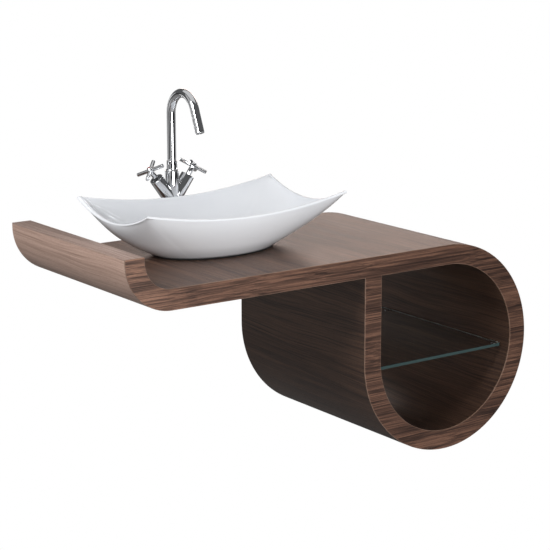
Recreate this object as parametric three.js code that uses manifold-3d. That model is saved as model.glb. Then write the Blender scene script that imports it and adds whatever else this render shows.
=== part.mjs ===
// Wall-hung washstand: a thick walnut band that turns up into a lip on the left and rolls
// round into a storage loop on the right, with a four-cornered vessel basin and a
// three-barrel mixer tap standing on its counter.
//
// Millimetres, +Z up, front towards -Y. The origin is the middle of the counter's rear
// edge, where the washstand meets the wall.
import * as THREE from 'three';
import { mergeVertices } from 'three/addons/utils/BufferGeometryUtils.js';
import Module from 'manifold-3d';

const wasm = await Module();
wasm.setup();

// ---- driving dimensions ----------------------------------------------------------

const GAP = 0.3; // clearance between pieces that touch

// washstand
const WIDTH = 1200;
const DEPTH = 530;
const BOARD = 50; // thickness of the band
const LIP_RISE = 80; // lip above the counter's top
const LIP_RADIUS = 120; // outside of the left bend
const LOOP_RADIUS = 265; // outside of the storage loop
const FACING = 3; // solid lipping on the front edge and on the lip's top
const ARC_STEP = 5; // degrees between points on the big bends

// tongues that key the boards together
const TONGUE_THICK = 8;
const TONGUE_WIDE = 30;
const TONGUE_END = 40; // wood left beyond each end of a tongue
const TONGUE_PLAY = 0.4;

// shelf
const SHELF_THICK = 8;
const SHELF_DROP = 290; // shelf's top below the counter's top
const SHELF_SETBACK = 28; // front edge behind the front face
const SHELF_BACK_GAP = 20;
const SHELF_SIDE_GAP = 5;
const SHELF_CORNER = 4;
const PIN_RADIUS = 2.5;
const PIN_IN = 9; // length in the wood
const PIN_OUT = 16; // length under the glass
const PIN_INSET = 22; // from the glass's front and rear edges

// basin
const BASIN_X = -172;
const BASIN_Y = -234;
const BASIN_HALF_WIDTH = 289;
const BASIN_HALF_DEPTH = 163;
const CORNER_HEIGHT = 140;
const LONG_SAG = 31; // the long rims' middles below the corners
const SHORT_SAG = 39;
const RIM_BOW = 3.5;
const FLARE = 1.8; // how early the wall spreads on its way up
const SQUARING = 1.05; // how early the oval foot turns into four corners
const FOOT_HALF_WIDTH = 164;
const FOOT_HALF_DEPTH = 100;
const WALL = 9;
const FLOOR = 17; // inside floor above the counter
const BASIN_SEGMENTS = 40;
const DRAIN_RADIUS = 23;

// waste
const WASTE_TUBE = 20;
const WASTE_BORE = 17;
const WASTE_FLANGE = 32;
const WASTE_LENGTH = 115;
const PLUG_RADIUS = 31;

// tap
const TAP_X = BASIN_X;
const TAP_Y = -47;
const TAP_HOLE = 18;
const BARREL = 17.5; // radius of the column and of both side barrels
const COLUMN_HEIGHT = 172;
const VEE_HEIGHT = 91; // where the barrels' axes meet
const VEE_TILT = THREE.MathUtils.degToRad(36);
const BARREL_LENGTH = 80;
const HUB_REACH = 108; // hub's centre from the point where the axes meet
const ROD_LENGTH = 76;
const ROD_RADIUS = 4.7;
const HOT_TURN = THREE.MathUtils.degToRad(51);
const COLD_TURN = THREE.MathUtils.degToRad(42);
const SPOUT_RADIUS = 11.25;
const SPOUT_BORE = 9.4;
const SPOUT_FOOT = 150; // tube's lower end, inside the column
const SPOUT_RISE = 317; // start of the gooseneck's bend
const SPOUT_BEND = 56;
const SPOUT_LEG = 58;
const SPOUT_LEG_TILT = THREE.MathUtils.degToRad(22.6);
const SHANK_RADIUS = 14;

// wall fixings
const BRACKET_X = [-236, 20];
const BRACKET_WIDE = 50;
const BRACKET_THICK = 5;
const BRACKET_DROP = 100;
const BRACKET_REACH = 350;
const HANGER_X = 270;
const HANGER_WIDE = 110;
const HANGER_TALL = 36;
const HANGER_THICK = 3;

// ---- levels and centres that follow from them --------------------------------------

const LEFT = -WIDTH / 2;
const TOP = BOARD / 2;
const UNDER = -BOARD / 2;
const FRONT = -DEPTH;
const CORE_FRONT = FRONT + FACING + GAP;
const LIP_TOP = TOP + LIP_RISE;
const BEND_X = LEFT + LIP_RADIUS;
const BEND_Z = UNDER + LIP_RADIUS;
const LOOP_X = WIDTH / 2 - LOOP_RADIUS;
const LOOP_Z = TOP - LOOP_RADIUS;
const LOOP_INNER = LOOP_RADIUS - BOARD;
const DIVIDER_X = LOOP_X - LOOP_RADIUS;
const SHELF_TOP = TOP - SHELF_DROP;

// ---- shape helpers -----------------------------------------------------------------

const solid = (geometry) => {
  const bare = geometry.clone();
  bare.deleteAttribute('normal');
  bare.deleteAttribute('uv');
  const merged = mergeVertices(bare, 1e-3);
  return new wasm.Manifold(new wasm.Mesh({
    numProp: 3,
    vertProperties: Float32Array.from(merged.attributes.position.array),
    triVerts: Uint32Array.from(merged.index.array),
  }));
};

const geometryOf = (manifold) => {
  const mesh = manifold.getMesh();
  const geometry = new THREE.BufferGeometry();
  geometry.setAttribute('position', new THREE.BufferAttribute(mesh.vertProperties, 3));
  geometry.setIndex(new THREE.BufferAttribute(mesh.triVerts, 1));
  return geometry;
};

const joined = (...pieces) => geometryOf(pieces.map(solid).reduce((sum, piece) => sum.add(piece)));

const cut = (body, ...tools) => geometryOf(
  tools.map(solid).reduce((left, tool) => left.subtract(tool), solid(body)),
);

// Points [x, z] on an arc, angles in degrees, counted from +X towards +Z.
const arc = (x, z, radius, from, to) => {
  const steps = Math.max(1, Math.round(Math.abs(to - from) / ARC_STEP));
  return Array.from({ length: steps + 1 }, (_, i) => {
    const angle = THREE.MathUtils.degToRad(from + ((to - from) * i) / steps);
    return [x + radius * Math.cos(angle), z + radius * Math.sin(angle)];
  });
};

const shapeOf = (points) => new THREE.Shape(points.map(([x, z]) => new THREE.Vector2(x, z)));

// An outline in the X-Z plane, run from yFront back to yBack.
const board = (shape, yFront, yBack) => {
  const options = { depth: yBack - yFront, bevelEnabled: false };
  return new THREE.ExtrudeGeometry(shape, options).rotateX(Math.PI / 2).translate(0, yBack, 0);
};

// An outline in the Y-Z plane, run along X about x.
const plateAcross = (points, x, wide) => new THREE.ExtrudeGeometry(
  shapeOf(points),
  { depth: wide, bevelEnabled: false },
).rotateY(Math.PI / 2).rotateX(Math.PI / 2).translate(x - wide / 2, 0, 0);

const block = (x0, x1, y0, y1, z0, z1) => new THREE.BoxGeometry(x1 - x0, y1 - y0, z1 - z0)
  .translate((x0 + x1) / 2, (y0 + y1) / 2, (z0 + z1) / 2);

// A profile of [radius, height] turned about +Z, outside going up.
const turned = (profile, segments = 24) => new THREE.LatheGeometry(
  profile.map(([radius, height]) => new THREE.Vector2(radius, height)),
  segments,
).rotateX(Math.PI / 2);

const disc = (radius, z0, z1, segments = 24) => turned(
  [[0, z0], [radius, z0], [radius, z1], [0, z1]],
  segments,
);

const ring = (inner, outer, z0, z1, segments = 24) => turned(
  [[inner, z0], [outer, z0], [outer, z1], [inner, z1], [inner, z0]],
  segments,
);

const hexNut = (acrossCorners, bore, z0, z1) => cut(
  disc(acrossCorners / 2, z0, z1, 6),
  disc(bore, z0 - 1, z1 + 1),
);

// ---- materials ---------------------------------------------------------------------

const finish = (color, roughness, metalness = 0) => () => new THREE.MeshStandardMaterial({
  color,
  roughness,
  metalness,
});

const glassFinish = () => new THREE.MeshStandardMaterial({
  color: 0xa8c8bc,
  roughness: 0.05,
  metalness: 0,
  transparent: true,
  opacity: 0.4,
});

const WALNUT = finish(0x6b4a3a, 0.5);
const WALNUT_EDGE = finish(0x7a5340, 0.55);
const BEECH = finish(0xc9a67a, 0.7);
const CERAMIC = finish(0xf2f4f8, 0.08);
const CHROME = finish(0xd8dadd, 0.08, 1);
const BRASS = finish(0xb08d4a, 0.35, 1);
const STEEL = finish(0x9a9da0, 0.4, 1);
const RUBBER = finish(0x1c1c1d, 0.8);
const NYLON = finish(0xe8e6df, 0.5);

const washstand = new THREE.Group();

const place = (name, geometry, material, parent = washstand) => {
  const mesh = new THREE.Mesh(geometry, material());
  mesh.name = name;
  parent.add(mesh);
  return mesh;
};

// ---- the walnut band -----------------------------------------------------------------

const tongueY = [CORE_FRONT + TONGUE_END, -TONGUE_END];

// A tongue flat in the counter's thickness at x, or on edge in the divider at z.
const flatTongue = (x, grow = 0) => block(
  x - TONGUE_WIDE / 2 - grow,
  x + TONGUE_WIDE / 2 + grow,
  tongueY[0] - grow,
  tongueY[1] + grow,
  -TONGUE_THICK / 2 - grow,
  TONGUE_THICK / 2 + grow,
);

const edgeTongue = (z, grow = 0) => block(
  DIVIDER_X + (BOARD - TONGUE_THICK) / 2 - grow,
  DIVIDER_X + (BOARD + TONGUE_THICK) / 2 + grow,
  tongueY[0] - grow,
  tongueY[1] + grow,
  z - TONGUE_WIDE / 2 - grow,
  z + TONGUE_WIDE / 2 + grow,
);

// screws that hold the brackets: [x, y] of each under the counter
const bracketScrews = BRACKET_X.map((x) => [[x - 14, -100], [x + 14, -310]]);
const SCREW_RADIUS = 2.2;
const SCREW_HEAD = 4.6;
const SCREW_LENGTH = 30;
const PILOT = 2.6;
const hangerScrewX = [HANGER_X - 42, HANGER_X + 42];

const alongY = (geometry, x, y, z) => geometry.rotateX(Math.PI / 2).translate(x, y, z);

const lipBend = () => cut(
  board(shapeOf([
    ...arc(BEND_X, BEND_Z, LIP_RADIUS, 180, 270),
    ...arc(BEND_X, BEND_Z, LIP_RADIUS - BOARD, 270, 180),
    [LEFT + BOARD, LIP_TOP - FACING - GAP],
    [LEFT, LIP_TOP - FACING - GAP],
  ]), CORE_FRONT, 0),
  flatTongue(BEND_X, TONGUE_PLAY),
);

const counterPanel = () => {
  const plank = block(BEND_X + GAP, LOOP_X - GAP, CORE_FRONT, 0, UNDER, TOP);
  const wasteHole = disc(DRAIN_RADIUS, UNDER - 1, TOP + 1).translate(BASIN_X, BASIN_Y, 0);
  const tapHole = disc(TAP_HOLE, UNDER - 1, TOP + 1).translate(TAP_X, TAP_Y, 0);
  const pilots = bracketScrews.flat().map(([x, y]) => (
    disc(PILOT, UNDER - 1, UNDER + SCREW_LENGTH, 10).translate(x, y, 0)
  ));
  const plateRecess = block(
    HANGER_X - HANGER_WIDE / 2 - TONGUE_PLAY,
    HANGER_X + HANGER_WIDE / 2 + TONGUE_PLAY,
    -HANGER_THICK - TONGUE_PLAY,
    1,
    -HANGER_TALL / 2 - TONGUE_PLAY,
    HANGER_TALL / 2 + TONGUE_PLAY,
  );
  const hookPocket = block(HANGER_X - 9, HANGER_X + 9, -18, 1, -14, 14);
  const hangerPilots = hangerScrewX.map((x) => alongY(disc(PILOT, 0, 32, 10), x, 0, 0));
  return cut(
    plank,
    wasteHole,
    tapHole,
    ...pilots,
    plateRecess,
    hookPocket,
    ...hangerPilots,
    flatTongue(BEND_X, TONGUE_PLAY),
    flatTongue(LOOP_X, TONGUE_PLAY),
    edgeTongue(UNDER, TONGUE_PLAY),
  );
};

const shelfPinY = [FRONT + SHELF_SETBACK + PIN_INSET, -SHELF_BACK_GAP - PIN_INSET];
const PIN_Z = SHELF_TOP - SHELF_THICK - GAP - PIN_RADIUS;
const pinReach = Math.sqrt(LOOP_INNER ** 2 - (PIN_Z - LOOP_Z) ** 2);
const pinWallX = { left: LOOP_X - pinReach, right: LOOP_X + pinReach };

// A pin across the loop's wall, from PIN_IN inside the wood to PIN_OUT clear of it.
const pin = (side, y, grow = 0) => {
  const inward = side === 'left' ? 1 : -1;
  const length = PIN_IN + PIN_OUT + grow;
  const middle = pinWallX[side] + (inward * (PIN_OUT - PIN_IN - grow)) / 2;
  return new THREE.CylinderGeometry(PIN_RADIUS + grow, PIN_RADIUS + grow, length, 12)
    .rotateZ(Math.PI / 2)
    .translate(middle, y, PIN_Z);
};

const loopShell = () => cut(
  board(shapeOf([
    ...arc(LOOP_X, LOOP_Z, LOOP_RADIUS, -180, 90),
    ...arc(LOOP_X, LOOP_Z, LOOP_INNER, 90, -180),
  ]), CORE_FRONT, 0),
  flatTongue(LOOP_X, TONGUE_PLAY),
  edgeTongue(LOOP_Z, TONGUE_PLAY),
  ...shelfPinY.flatMap((y) => ['left', 'right'].map((side) => pin(side, y, TONGUE_PLAY))),
);

const dividerPanel = () => cut(
  block(DIVIDER_X, DIVIDER_X + BOARD, CORE_FRONT, 0, LOOP_Z + GAP, UNDER - GAP),
  edgeTongue(UNDER, TONGUE_PLAY),
  edgeTongue(LOOP_Z, TONGUE_PLAY),
);

const frontFacing = () => {
  const outline = shapeOf([
    [LEFT, LIP_TOP],
    ...arc(BEND_X, BEND_Z, LIP_RADIUS, 180, 270),
    [DIVIDER_X, UNDER],
    ...arc(LOOP_X, LOOP_Z, LOOP_RADIUS, 180, 450),
    ...arc(BEND_X, BEND_Z, LIP_RADIUS - BOARD, 270, 180),
    [LEFT + BOARD, LIP_TOP],
  ]);
  outline.holes.push(shapeOf([
    [DIVIDER_X + BOARD, UNDER],
    ...arc(LOOP_X, LOOP_Z, LOOP_INNER, 90, -180),
  ]));
  return board(outline, FRONT, FRONT + FACING);
};

place('lip_bend', lipBend(), WALNUT);
place('counter_panel', counterPanel(), WALNUT);
place('loop_shell', loopShell(), WALNUT);
place('divider_panel', dividerPanel(), WALNUT);
place('front_facing', frontFacing(), WALNUT_EDGE);
place(
  'lip_top_edging',
  block(LEFT, LEFT + BOARD, CORE_FRONT, 0, LIP_TOP - FACING, LIP_TOP),
  WALNUT_EDGE,
);
place('lip_tongue', flatTongue(BEND_X), BEECH);
place('loop_tongue', flatTongue(LOOP_X), BEECH);
place('divider_top_tongue', edgeTongue(UNDER), BEECH);
place('divider_foot_tongue', edgeTongue(LOOP_Z), BEECH);

// ---- glass shelf and its pins ----------------------------------------------------------

const glassShelf = () => {
  const half = Math.sqrt(LOOP_INNER ** 2 - (SHELF_TOP - SHELF_THICK - LOOP_Z) ** 2) - SHELF_SIDE_GAP;
  const [x0, x1] = [LOOP_X - half, LOOP_X + half];
  const [y0, y1] = [FRONT + SHELF_SETBACK, -SHELF_BACK_GAP];
  const c = SHELF_CORNER;
  const outline = shapeOf([
    [x0 + c, y0], [x1 - c, y0], [x1, y0 + c], [x1, y1 - c],
    [x1 - c, y1], [x0 + c, y1], [x0, y1 - c], [x0, y0 + c],
  ]);
  return new THREE.ExtrudeGeometry(outline, { depth: SHELF_THICK, bevelEnabled: false })
    .translate(0, 0, SHELF_TOP - SHELF_THICK);
};

place('glass_shelf', glassShelf(), glassFinish);
['front', 'rear'].forEach((end, i) => {
  ['left', 'right'].forEach((side) => {
    place(`shelf_pin_${end}_${side}`, pin(side, shelfPinY[i]), STEEL);
  });
});

// ---- wall brackets and hanger plate -------------------------------------------------------

const bracket = (x) => {
  const leg = UNDER - GAP;
  const elbow = plateAcross([
    [0, leg - BRACKET_DROP],
    [0, leg],
    [-BRACKET_REACH, leg],
    [-BRACKET_REACH, leg - BRACKET_THICK],
    [-BRACKET_THICK, leg - BRACKET_THICK],
    [-BRACKET_THICK, leg - BRACKET_DROP],
  ], x, BRACKET_WIDE);
  const web = plateAcross([
    [-1, leg - BRACKET_DROP + 8],
    [-1, leg - 1],
    [-BRACKET_REACH / 2, leg - 1],
    [-BRACKET_REACH / 2, leg - BRACKET_THICK - 1],
    [-BRACKET_THICK - 1, leg - BRACKET_DROP + 8],
  ], x, BRACKET_THICK);
  const wallHoles = [[-14, 30], [14, 30], [-14, 80], [14, 80]].map(([dx, drop]) => (
    alongY(disc(4.5, -1, BRACKET_THICK + 1, 16), x + dx, 0, leg - drop)
  ));
  const screwHoles = [[x - 14, -100], [x + 14, -310]].map(([hx, hy]) => (
    disc(PILOT, leg - BRACKET_THICK - 1, leg + 1, 10).translate(hx, hy, 0)
  ));
  return cut(joined(elbow, web), ...wallHoles, ...screwHoles);
};

// A pan-head wood screw pointing up, the head's underside at height 0.
const woodScrew = () => turned([
  [0, -2.8], [SCREW_HEAD - 1.4, -2.8], [SCREW_HEAD, -1.2], [SCREW_HEAD, 0],
  [SCREW_RADIUS, 0], [SCREW_RADIUS, SCREW_LENGTH - 5], [0, SCREW_LENGTH],
], 12);

const hangerPlate = () => {
  const plate = block(
    HANGER_X - HANGER_WIDE / 2,
    HANGER_X + HANGER_WIDE / 2,
    -HANGER_THICK,
    0,
    -HANGER_TALL / 2,
    HANGER_TALL / 2,
  );
  const keyHead = alongY(disc(6.5, -1, HANGER_THICK + 1, 16), HANGER_X, 0, -5);
  const keySlot = block(HANGER_X - 3.2, HANGER_X + 3.2, -HANGER_THICK - 1, 1, -5, 11);
  const holes = hangerScrewX.map((x) => (
    alongY(turned([[0, -1], [5, -1], [PILOT, 2], [PILOT, 4], [0, 4]], 12), x, 0, 0)
  ));
  return cut(plate, keyHead, keySlot, ...holes);
};

// A countersunk screw pointing forwards, its head flush with the wall side of the plate.
const countersunkScrew = (x) => alongY(turned([
  [0, 0.4], [3.4, 0.4], [SCREW_RADIUS, 2], [SCREW_RADIUS, 25], [0, 29],
], 12), x, 0, 0);

BRACKET_X.forEach((x, i) => {
  const side = ['left', 'right'][i];
  place(`wall_bracket_${side}`, bracket(x), STEEL);
  bracketScrews[i].forEach(([sx, sy], j) => {
    const head = UNDER - 2 * GAP - BRACKET_THICK;
    const screw = place(`bracket_screw_${side}_${['rear', 'front'][j]}`, woodScrew(), STEEL);
    screw.position.set(sx, sy, head);
  });
});
place('loop_hanger_plate', hangerPlate(), STEEL);
hangerScrewX.forEach((x, i) => {
  place(`hanger_screw_${['left', 'right'][i]}`, countersunkScrew(x), STEEL);
});

// ---- vessel basin ---------------------------------------------------------------------------

// Each station is one closed loop round the basin: a function from a direction round the
// axis to a point. Level 0 is the foot, level 1 is the rim.
const rimHeight = (dx, dy) => {
  const onLongSide = Math.abs(dy) >= Math.abs(dx);
  const along = onLongSide ? dx / Math.abs(dy) : dy / Math.abs(dx);
  return CORNER_HEIGHT - (onLongSide ? LONG_SAG : SHORT_SAG) * (1 - along ** 2);
};

const wallPoint = (level, inset, lift) => (dx, dy) => {
  const stretch = 1 / Math.max(Math.abs(dx), Math.abs(dy));
  const square = level ** SQUARING;
  const toRim = 1 - (1 - level) ** FLARE;
  const halfX = THREE.MathUtils.lerp(FOOT_HALF_WIDTH, BASIN_HALF_WIDTH, toRim) - inset;
  const halfY = THREE.MathUtils.lerp(FOOT_HALF_DEPTH, BASIN_HALF_DEPTH, toRim) - inset;
  const scale = THREE.MathUtils.lerp(1, stretch, square);
  const bow = Math.abs(dy) >= Math.abs(dx) ? RIM_BOW * square * (1 - (dx / dy) ** 2) : 0;
  return new THREE.Vector3(
    halfX * dx * scale,
    halfY * dy * scale + Math.sign(dy) * bow,
    lift + (rimHeight(dx, dy) - lift) * level,
  );
};

const roundPoint = (radius, height) => (dx, dy) => (
  new THREE.Vector3(radius * dx, radius * dy, height)
);

const basin = () => {
  const levels = [0.06, 0.16, 0.28, 0.42, 0.57, 0.72, 0.87];
  const outside = levels.map((level) => wallPoint(level, 0, 1));
  const inside = [...levels].reverse().map((level) => (
    wallPoint(level, WALL + 5 * (1 - level), FLOOR + 2)
  ));
  const stations = [
    roundPoint(DRAIN_RADIUS, 3),
    roundPoint(42, 3),
    roundPoint(42, 0),
    wallPoint(0, 6, 0),
    ...outside,
    wallPoint(0.98, 0, 0),
    wallPoint(1, WALL / 2, 0),
    wallPoint(0.98, WALL, 0),
    ...inside,
    roundPoint(70, FLOOR),
    roundPoint(34.5, FLOOR - 0.5),
    roundPoint(33.5, FLOOR - 5),
    roundPoint(DRAIN_RADIUS, FLOOR - 5),
  ];
  const loops = [...stations, stations[0]];
  const geometry = new THREE.LatheGeometry(
    loops.map((_, i) => new THREE.Vector2(1, i)),
    BASIN_SEGMENTS,
  ).rotateX(Math.PI / 2);
  const position = geometry.attributes.position;
  for (let i = 0; i < position.count; i += 1) {
    const station = loops[Math.round(position.getZ(i))];
    const point = station(position.getX(i), position.getY(i));
    position.setXYZ(i, point.x, point.y, point.z);
  }
  return geometryOf(solid(geometry));
};

const basinGroup = new THREE.Group();
basinGroup.position.set(BASIN_X, BASIN_Y, TOP + GAP);
washstand.add(basinGroup);
place('basin', basin(), CERAMIC, basinGroup);
place('basin_seal', ring(24, 40, 0, 2.6), RUBBER, basinGroup);

// ---- waste with its press plug ----------------------------------------------------------------

const SEAT = FLOOR - 5; // floor of the recess that holds the flange
const FLANGE_TOP = SEAT + 5.4;
const WASTE_FOOT = FLANGE_TOP - WASTE_LENGTH;
const SPINDLE = 2.9;

const wasteBody = () => {
  const shell = turned([
    [WASTE_BORE, WASTE_FOOT],
    [WASTE_TUBE, WASTE_FOOT],
    [WASTE_TUBE, SEAT + 2.1],
    [WASTE_FLANGE - 1, SEAT + 2.1],
    [WASTE_FLANGE, SEAT + 3.1],
    [WASTE_FLANGE - 0.8, FLANGE_TOP],
    [23, FLANGE_TOP],
    [WASTE_BORE, FLANGE_TOP - 6],
    [WASTE_BORE, WASTE_FOOT],
  ]);
  const bar = block(-WASTE_BORE - 1, WASTE_BORE + 1, -2, 2, -26, -18);
  const hub = disc(6.5, -26, -18, 16);
  return cut(joined(shell, bar, hub), disc(SPINDLE + 0.35, -27, -17, 16));
};

place('waste_body', wasteBody(), CHROME, basinGroup);
place('waste_top_seal', ring(WASTE_TUBE + 1, 30.5, SEAT + GAP, SEAT + 1.8), RUBBER, basinGroup);
place('waste_plug_cap', turned([
  [0, FLANGE_TOP + 1.9], [PLUG_RADIUS - 1, FLANGE_TOP + 1.9], [PLUG_RADIUS, FLANGE_TOP + 2.9],
  [PLUG_RADIUS - 1.5, FLANGE_TOP + 4.6], [20, FLANGE_TOP + 6.2], [0, FLANGE_TOP + 7],
]), CHROME, basinGroup);
place(
  'waste_plug_seal',
  ring(24.5, 29, FLANGE_TOP + GAP, FLANGE_TOP + 1.6),
  RUBBER,
  basinGroup,
);
place('waste_plug_spindle', disc(SPINDLE, -44, FLANGE_TOP + 1.6, 16), BRASS, basinGroup);

const NUT_LEVEL = -BOARD - GAP; // the counter's underside, seen from the basin's foot
place(
  'waste_under_washer',
  ring(WASTE_TUBE + 0.4, 31, NUT_LEVEL - 3.3, NUT_LEVEL - GAP),
  RUBBER,
  basinGroup,
);
place(
  'waste_backnut',
  hexNut(62, WASTE_TUBE + 0.4, NUT_LEVEL - 15.6, NUT_LEVEL - 3.6),
  BRASS,
  basinGroup,
);

// ---- mixer tap: body and what clamps it to the counter --------------------------------------------

const tapGroup = new THREE.Group();
tapGroup.position.set(TAP_X, TAP_Y, TOP);
washstand.add(tapGroup);

const CARTRIDGE_BORE = 12;
const CARTRIDGE_FOOT = 28; // bore's floor, from the point where the axes meet
const BODY_FOOT = 1.8;

// Turns a geometry made about +Z onto a side barrel's axis: side -1 is hot, 1 is cold.
const onBarrel = (geometry, side) => geometry
  .rotateY(side * VEE_TILT)
  .translate(0, 0, VEE_HEIGHT);

const tapBody = () => {
  const sides = [-1, 1];
  const blank = joined(
    disc(BARREL, BODY_FOOT, COLUMN_HEIGHT),
    ...sides.map((side) => onBarrel(disc(BARREL, 0, BARREL_LENGTH), side)),
  );
  return cut(
    blank,
    disc(SHANK_RADIUS + GAP, 0, 22),
    disc(8, 20, 140, 16),
    disc(SPOUT_RADIUS + 0.45, 133, COLUMN_HEIGHT + 1),
    ...sides.map((side) => onBarrel(disc(CARTRIDGE_BORE, CARTRIDGE_FOOT, 90), side)),
    ...sides.map((side) => onBarrel(disc(4, 0, CARTRIDGE_FOOT + 1, 12), side)),
  );
};

const tapShank = () => cut(
  disc(SHANK_RADIUS, -BOARD - 35, 21.5),
  disc(4.4, -BOARD - 36, 22.5, 12).translate(-6.4, 0, 0),
  disc(4.4, -BOARD - 36, 22.5, 12).translate(6.4, 0, 0),
);

place('tap_body', tapBody(), CHROME, tapGroup);
place('tap_base_ring', turned([
  [BARREL + 0.4, 2], [24, 2], [24, 5.4], [22.4, 7], [BARREL + 0.4, 7], [BARREL + 0.4, 2],
]), CHROME, tapGroup);
place('tap_base_seal', ring(SHANK_RADIUS + 1, 22.5, GAP, 1.5), RUBBER, tapGroup);
place('tap_shank', tapShank(), BRASS, tapGroup);
place(
  'tap_under_washer',
  ring(SHANK_RADIUS + 0.4, 25, -BOARD - 3.3, -BOARD - GAP),
  RUBBER,
  tapGroup,
);
place(
  'tap_clamp_washer',
  ring(SHANK_RADIUS + 0.4, 25, -BOARD - 5.6, -BOARD - 3.6),
  STEEL,
  tapGroup,
);
place('tap_backnut', hexNut(44, SHANK_RADIUS + 0.4, -BOARD - 15, -BOARD - 5.9), BRASS, tapGroup);

// ---- mixer tap: swivelling spout -------------------------------------------------------------------

// Up the column's axis, over the bend towards the front, and down the leaning leg.
class SpoutPath extends THREE.Curve {
  getPoint(t) {
    const rise = SPOUT_RISE - SPOUT_FOOT;
    const sweep = Math.PI - SPOUT_LEG_TILT;
    const bend = SPOUT_BEND * sweep;
    const along = t * (rise + bend + SPOUT_LEG);
    if (along <= rise) return new THREE.Vector3(0, 0, SPOUT_FOOT + along);
    const turn = Math.min((along - rise) / SPOUT_BEND, sweep);
    const left = along - rise - turn * SPOUT_BEND;
    return new THREE.Vector3(
      0,
      -SPOUT_BEND * (1 - Math.cos(turn)) - left * Math.sin(SPOUT_LEG_TILT),
      SPOUT_RISE + SPOUT_BEND * Math.sin(turn) - left * Math.cos(SPOUT_LEG_TILT),
    );
  }
}

const spoutPath = new SpoutPath();

const spoutTube = () => {
  const section = new THREE.Shape().absarc(0, 0, SPOUT_RADIUS, 0, 2 * Math.PI);
  section.holes.push(new THREE.Path().absarc(0, 0, SPOUT_BORE, 0, 2 * Math.PI, true));
  return geometryOf(solid(new THREE.ExtrudeGeometry(section, {
    steps: 32,
    curveSegments: 6,
    extrudePath: spoutPath,
  })));
};

// Onto the outlet: height 0 at the tube's end, heights going down the stream.
const onOutlet = (geometry) => {
  const end = spoutPath.getPoint(1);
  return geometry
    .rotateX(Math.PI - SPOUT_LEG_TILT)
    .translate(end.x, end.y, end.z);
};

const aeratorInsert = () => {
  const holes = Array.from({ length: 6 }, (_, i) => {
    const angle = (i * Math.PI) / 3;
    return disc(1.3, -8, 2, 8).translate(4 * Math.cos(angle), 4 * Math.sin(angle), 0);
  });
  return onOutlet(cut(disc(6.7, -6, 1.4, 16), disc(1.3, -8, 2, 8), ...holes));
};

place('spout_collar', turned([
  [SPOUT_RADIUS + 0.35, COLUMN_HEIGHT + GAP],
  [BARREL - 1.5, COLUMN_HEIGHT + GAP],
  [BARREL - 2.5, COLUMN_HEIGHT + 3],
  [SPOUT_RADIUS + 2, COLUMN_HEIGHT + 4],
  [SPOUT_RADIUS + 2, COLUMN_HEIGHT + 25],
  [SPOUT_RADIUS + 1.2, COLUMN_HEIGHT + 26],
  [SPOUT_RADIUS + 0.35, COLUMN_HEIGHT + 26],
  [SPOUT_RADIUS + 0.35, COLUMN_HEIGHT + GAP],
]), CHROME, tapGroup);
place('spout_tube', spoutTube(), CHROME, tapGroup);
place('spout_bush', turned([
  [6.5, 134], [SPOUT_RADIUS, 134], [SPOUT_RADIUS, 139], [9.2, 139], [9.2, 143],
  [SPOUT_RADIUS, 143], [SPOUT_RADIUS, SPOUT_FOOT - GAP], [SPOUT_BORE - 0.6, SPOUT_FOOT - GAP],
  [SPOUT_BORE - 0.6, 160], [6.5, 160], [6.5, 134],
], 16), NYLON, tapGroup);
place('spout_o_ring', turned([
  [9.5, 141], [9.9, 139.9], [10.6, 139.4], [11.3, 139.9], [11.5, 141],
  [11.3, 142.1], [10.6, 142.6], [9.9, 142.1], [9.5, 141],
], 16), RUBBER, tapGroup);
place('aerator_housing', onOutlet(turned([
  [7.2, -9], [SPOUT_BORE - 0.7, -9], [SPOUT_BORE - 0.7, GAP], [SPOUT_RADIUS, GAP],
  [SPOUT_RADIUS, 3.4], [SPOUT_RADIUS - 0.7, 4], [7.2, 4], [7.2, -9],
], 16)), CHROME, tapGroup);
place('aerator_insert', aeratorInsert(), NYLON, tapGroup);

// ---- mixer tap: ceramic-disc valves and cross handles ------------------------------------------------

const cartridge = () => turned([
  [0, CARTRIDGE_FOOT + GAP], [CARTRIDGE_BORE - 0.4, CARTRIDGE_FOOT + GAP],
  [CARTRIDGE_BORE - 0.4, 74], [9, 74], [9, 79.4], [4.4, 79.4], [4.4, 52], [0, 52],
], 16);

const spindle = () => turned([
  [0, 52.4], [4, 52.4], [4, 104.6], [1.9, 104.6], [1.9, 96], [0, 96],
], 16);

const crossHandle = (turn) => {
  const rods = [0, Math.PI / 2].map((quarter) => (
    new THREE.CylinderGeometry(ROD_RADIUS, ROD_RADIUS, ROD_LENGTH, 12)
      .rotateZ(turn + quarter)
      .translate(0, 0, HUB_REACH)
  ));
  const hub = disc(7.4, HUB_REACH - 6.2, HUB_REACH + 6);
  return cut(
    joined(hub, ...rods),
    disc(4.4, HUB_REACH - 7, HUB_REACH - 3.1, 16),
    disc(1.9, HUB_REACH - 4, HUB_REACH + 4, 12),
    disc(4.6, HUB_REACH + 1, HUB_REACH + 7, 16),
  );
};

const handleScrew = () => turned([
  [0, 97], [1.5, 97], [1.5, HUB_REACH + 1.3], [3.4, HUB_REACH + 1.3],
  [3.4, HUB_REACH + 3.6], [0, HUB_REACH + 3.6],
], 12);

const indexCap = () => turned([
  [0, HUB_REACH + 4], [4.2, HUB_REACH + 4], [4.2, HUB_REACH + 6.3], [6, HUB_REACH + 6.3],
  [6, HUB_REACH + 7.4], [4.6, HUB_REACH + 8.6], [0, HUB_REACH + 9],
], 16);

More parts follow.
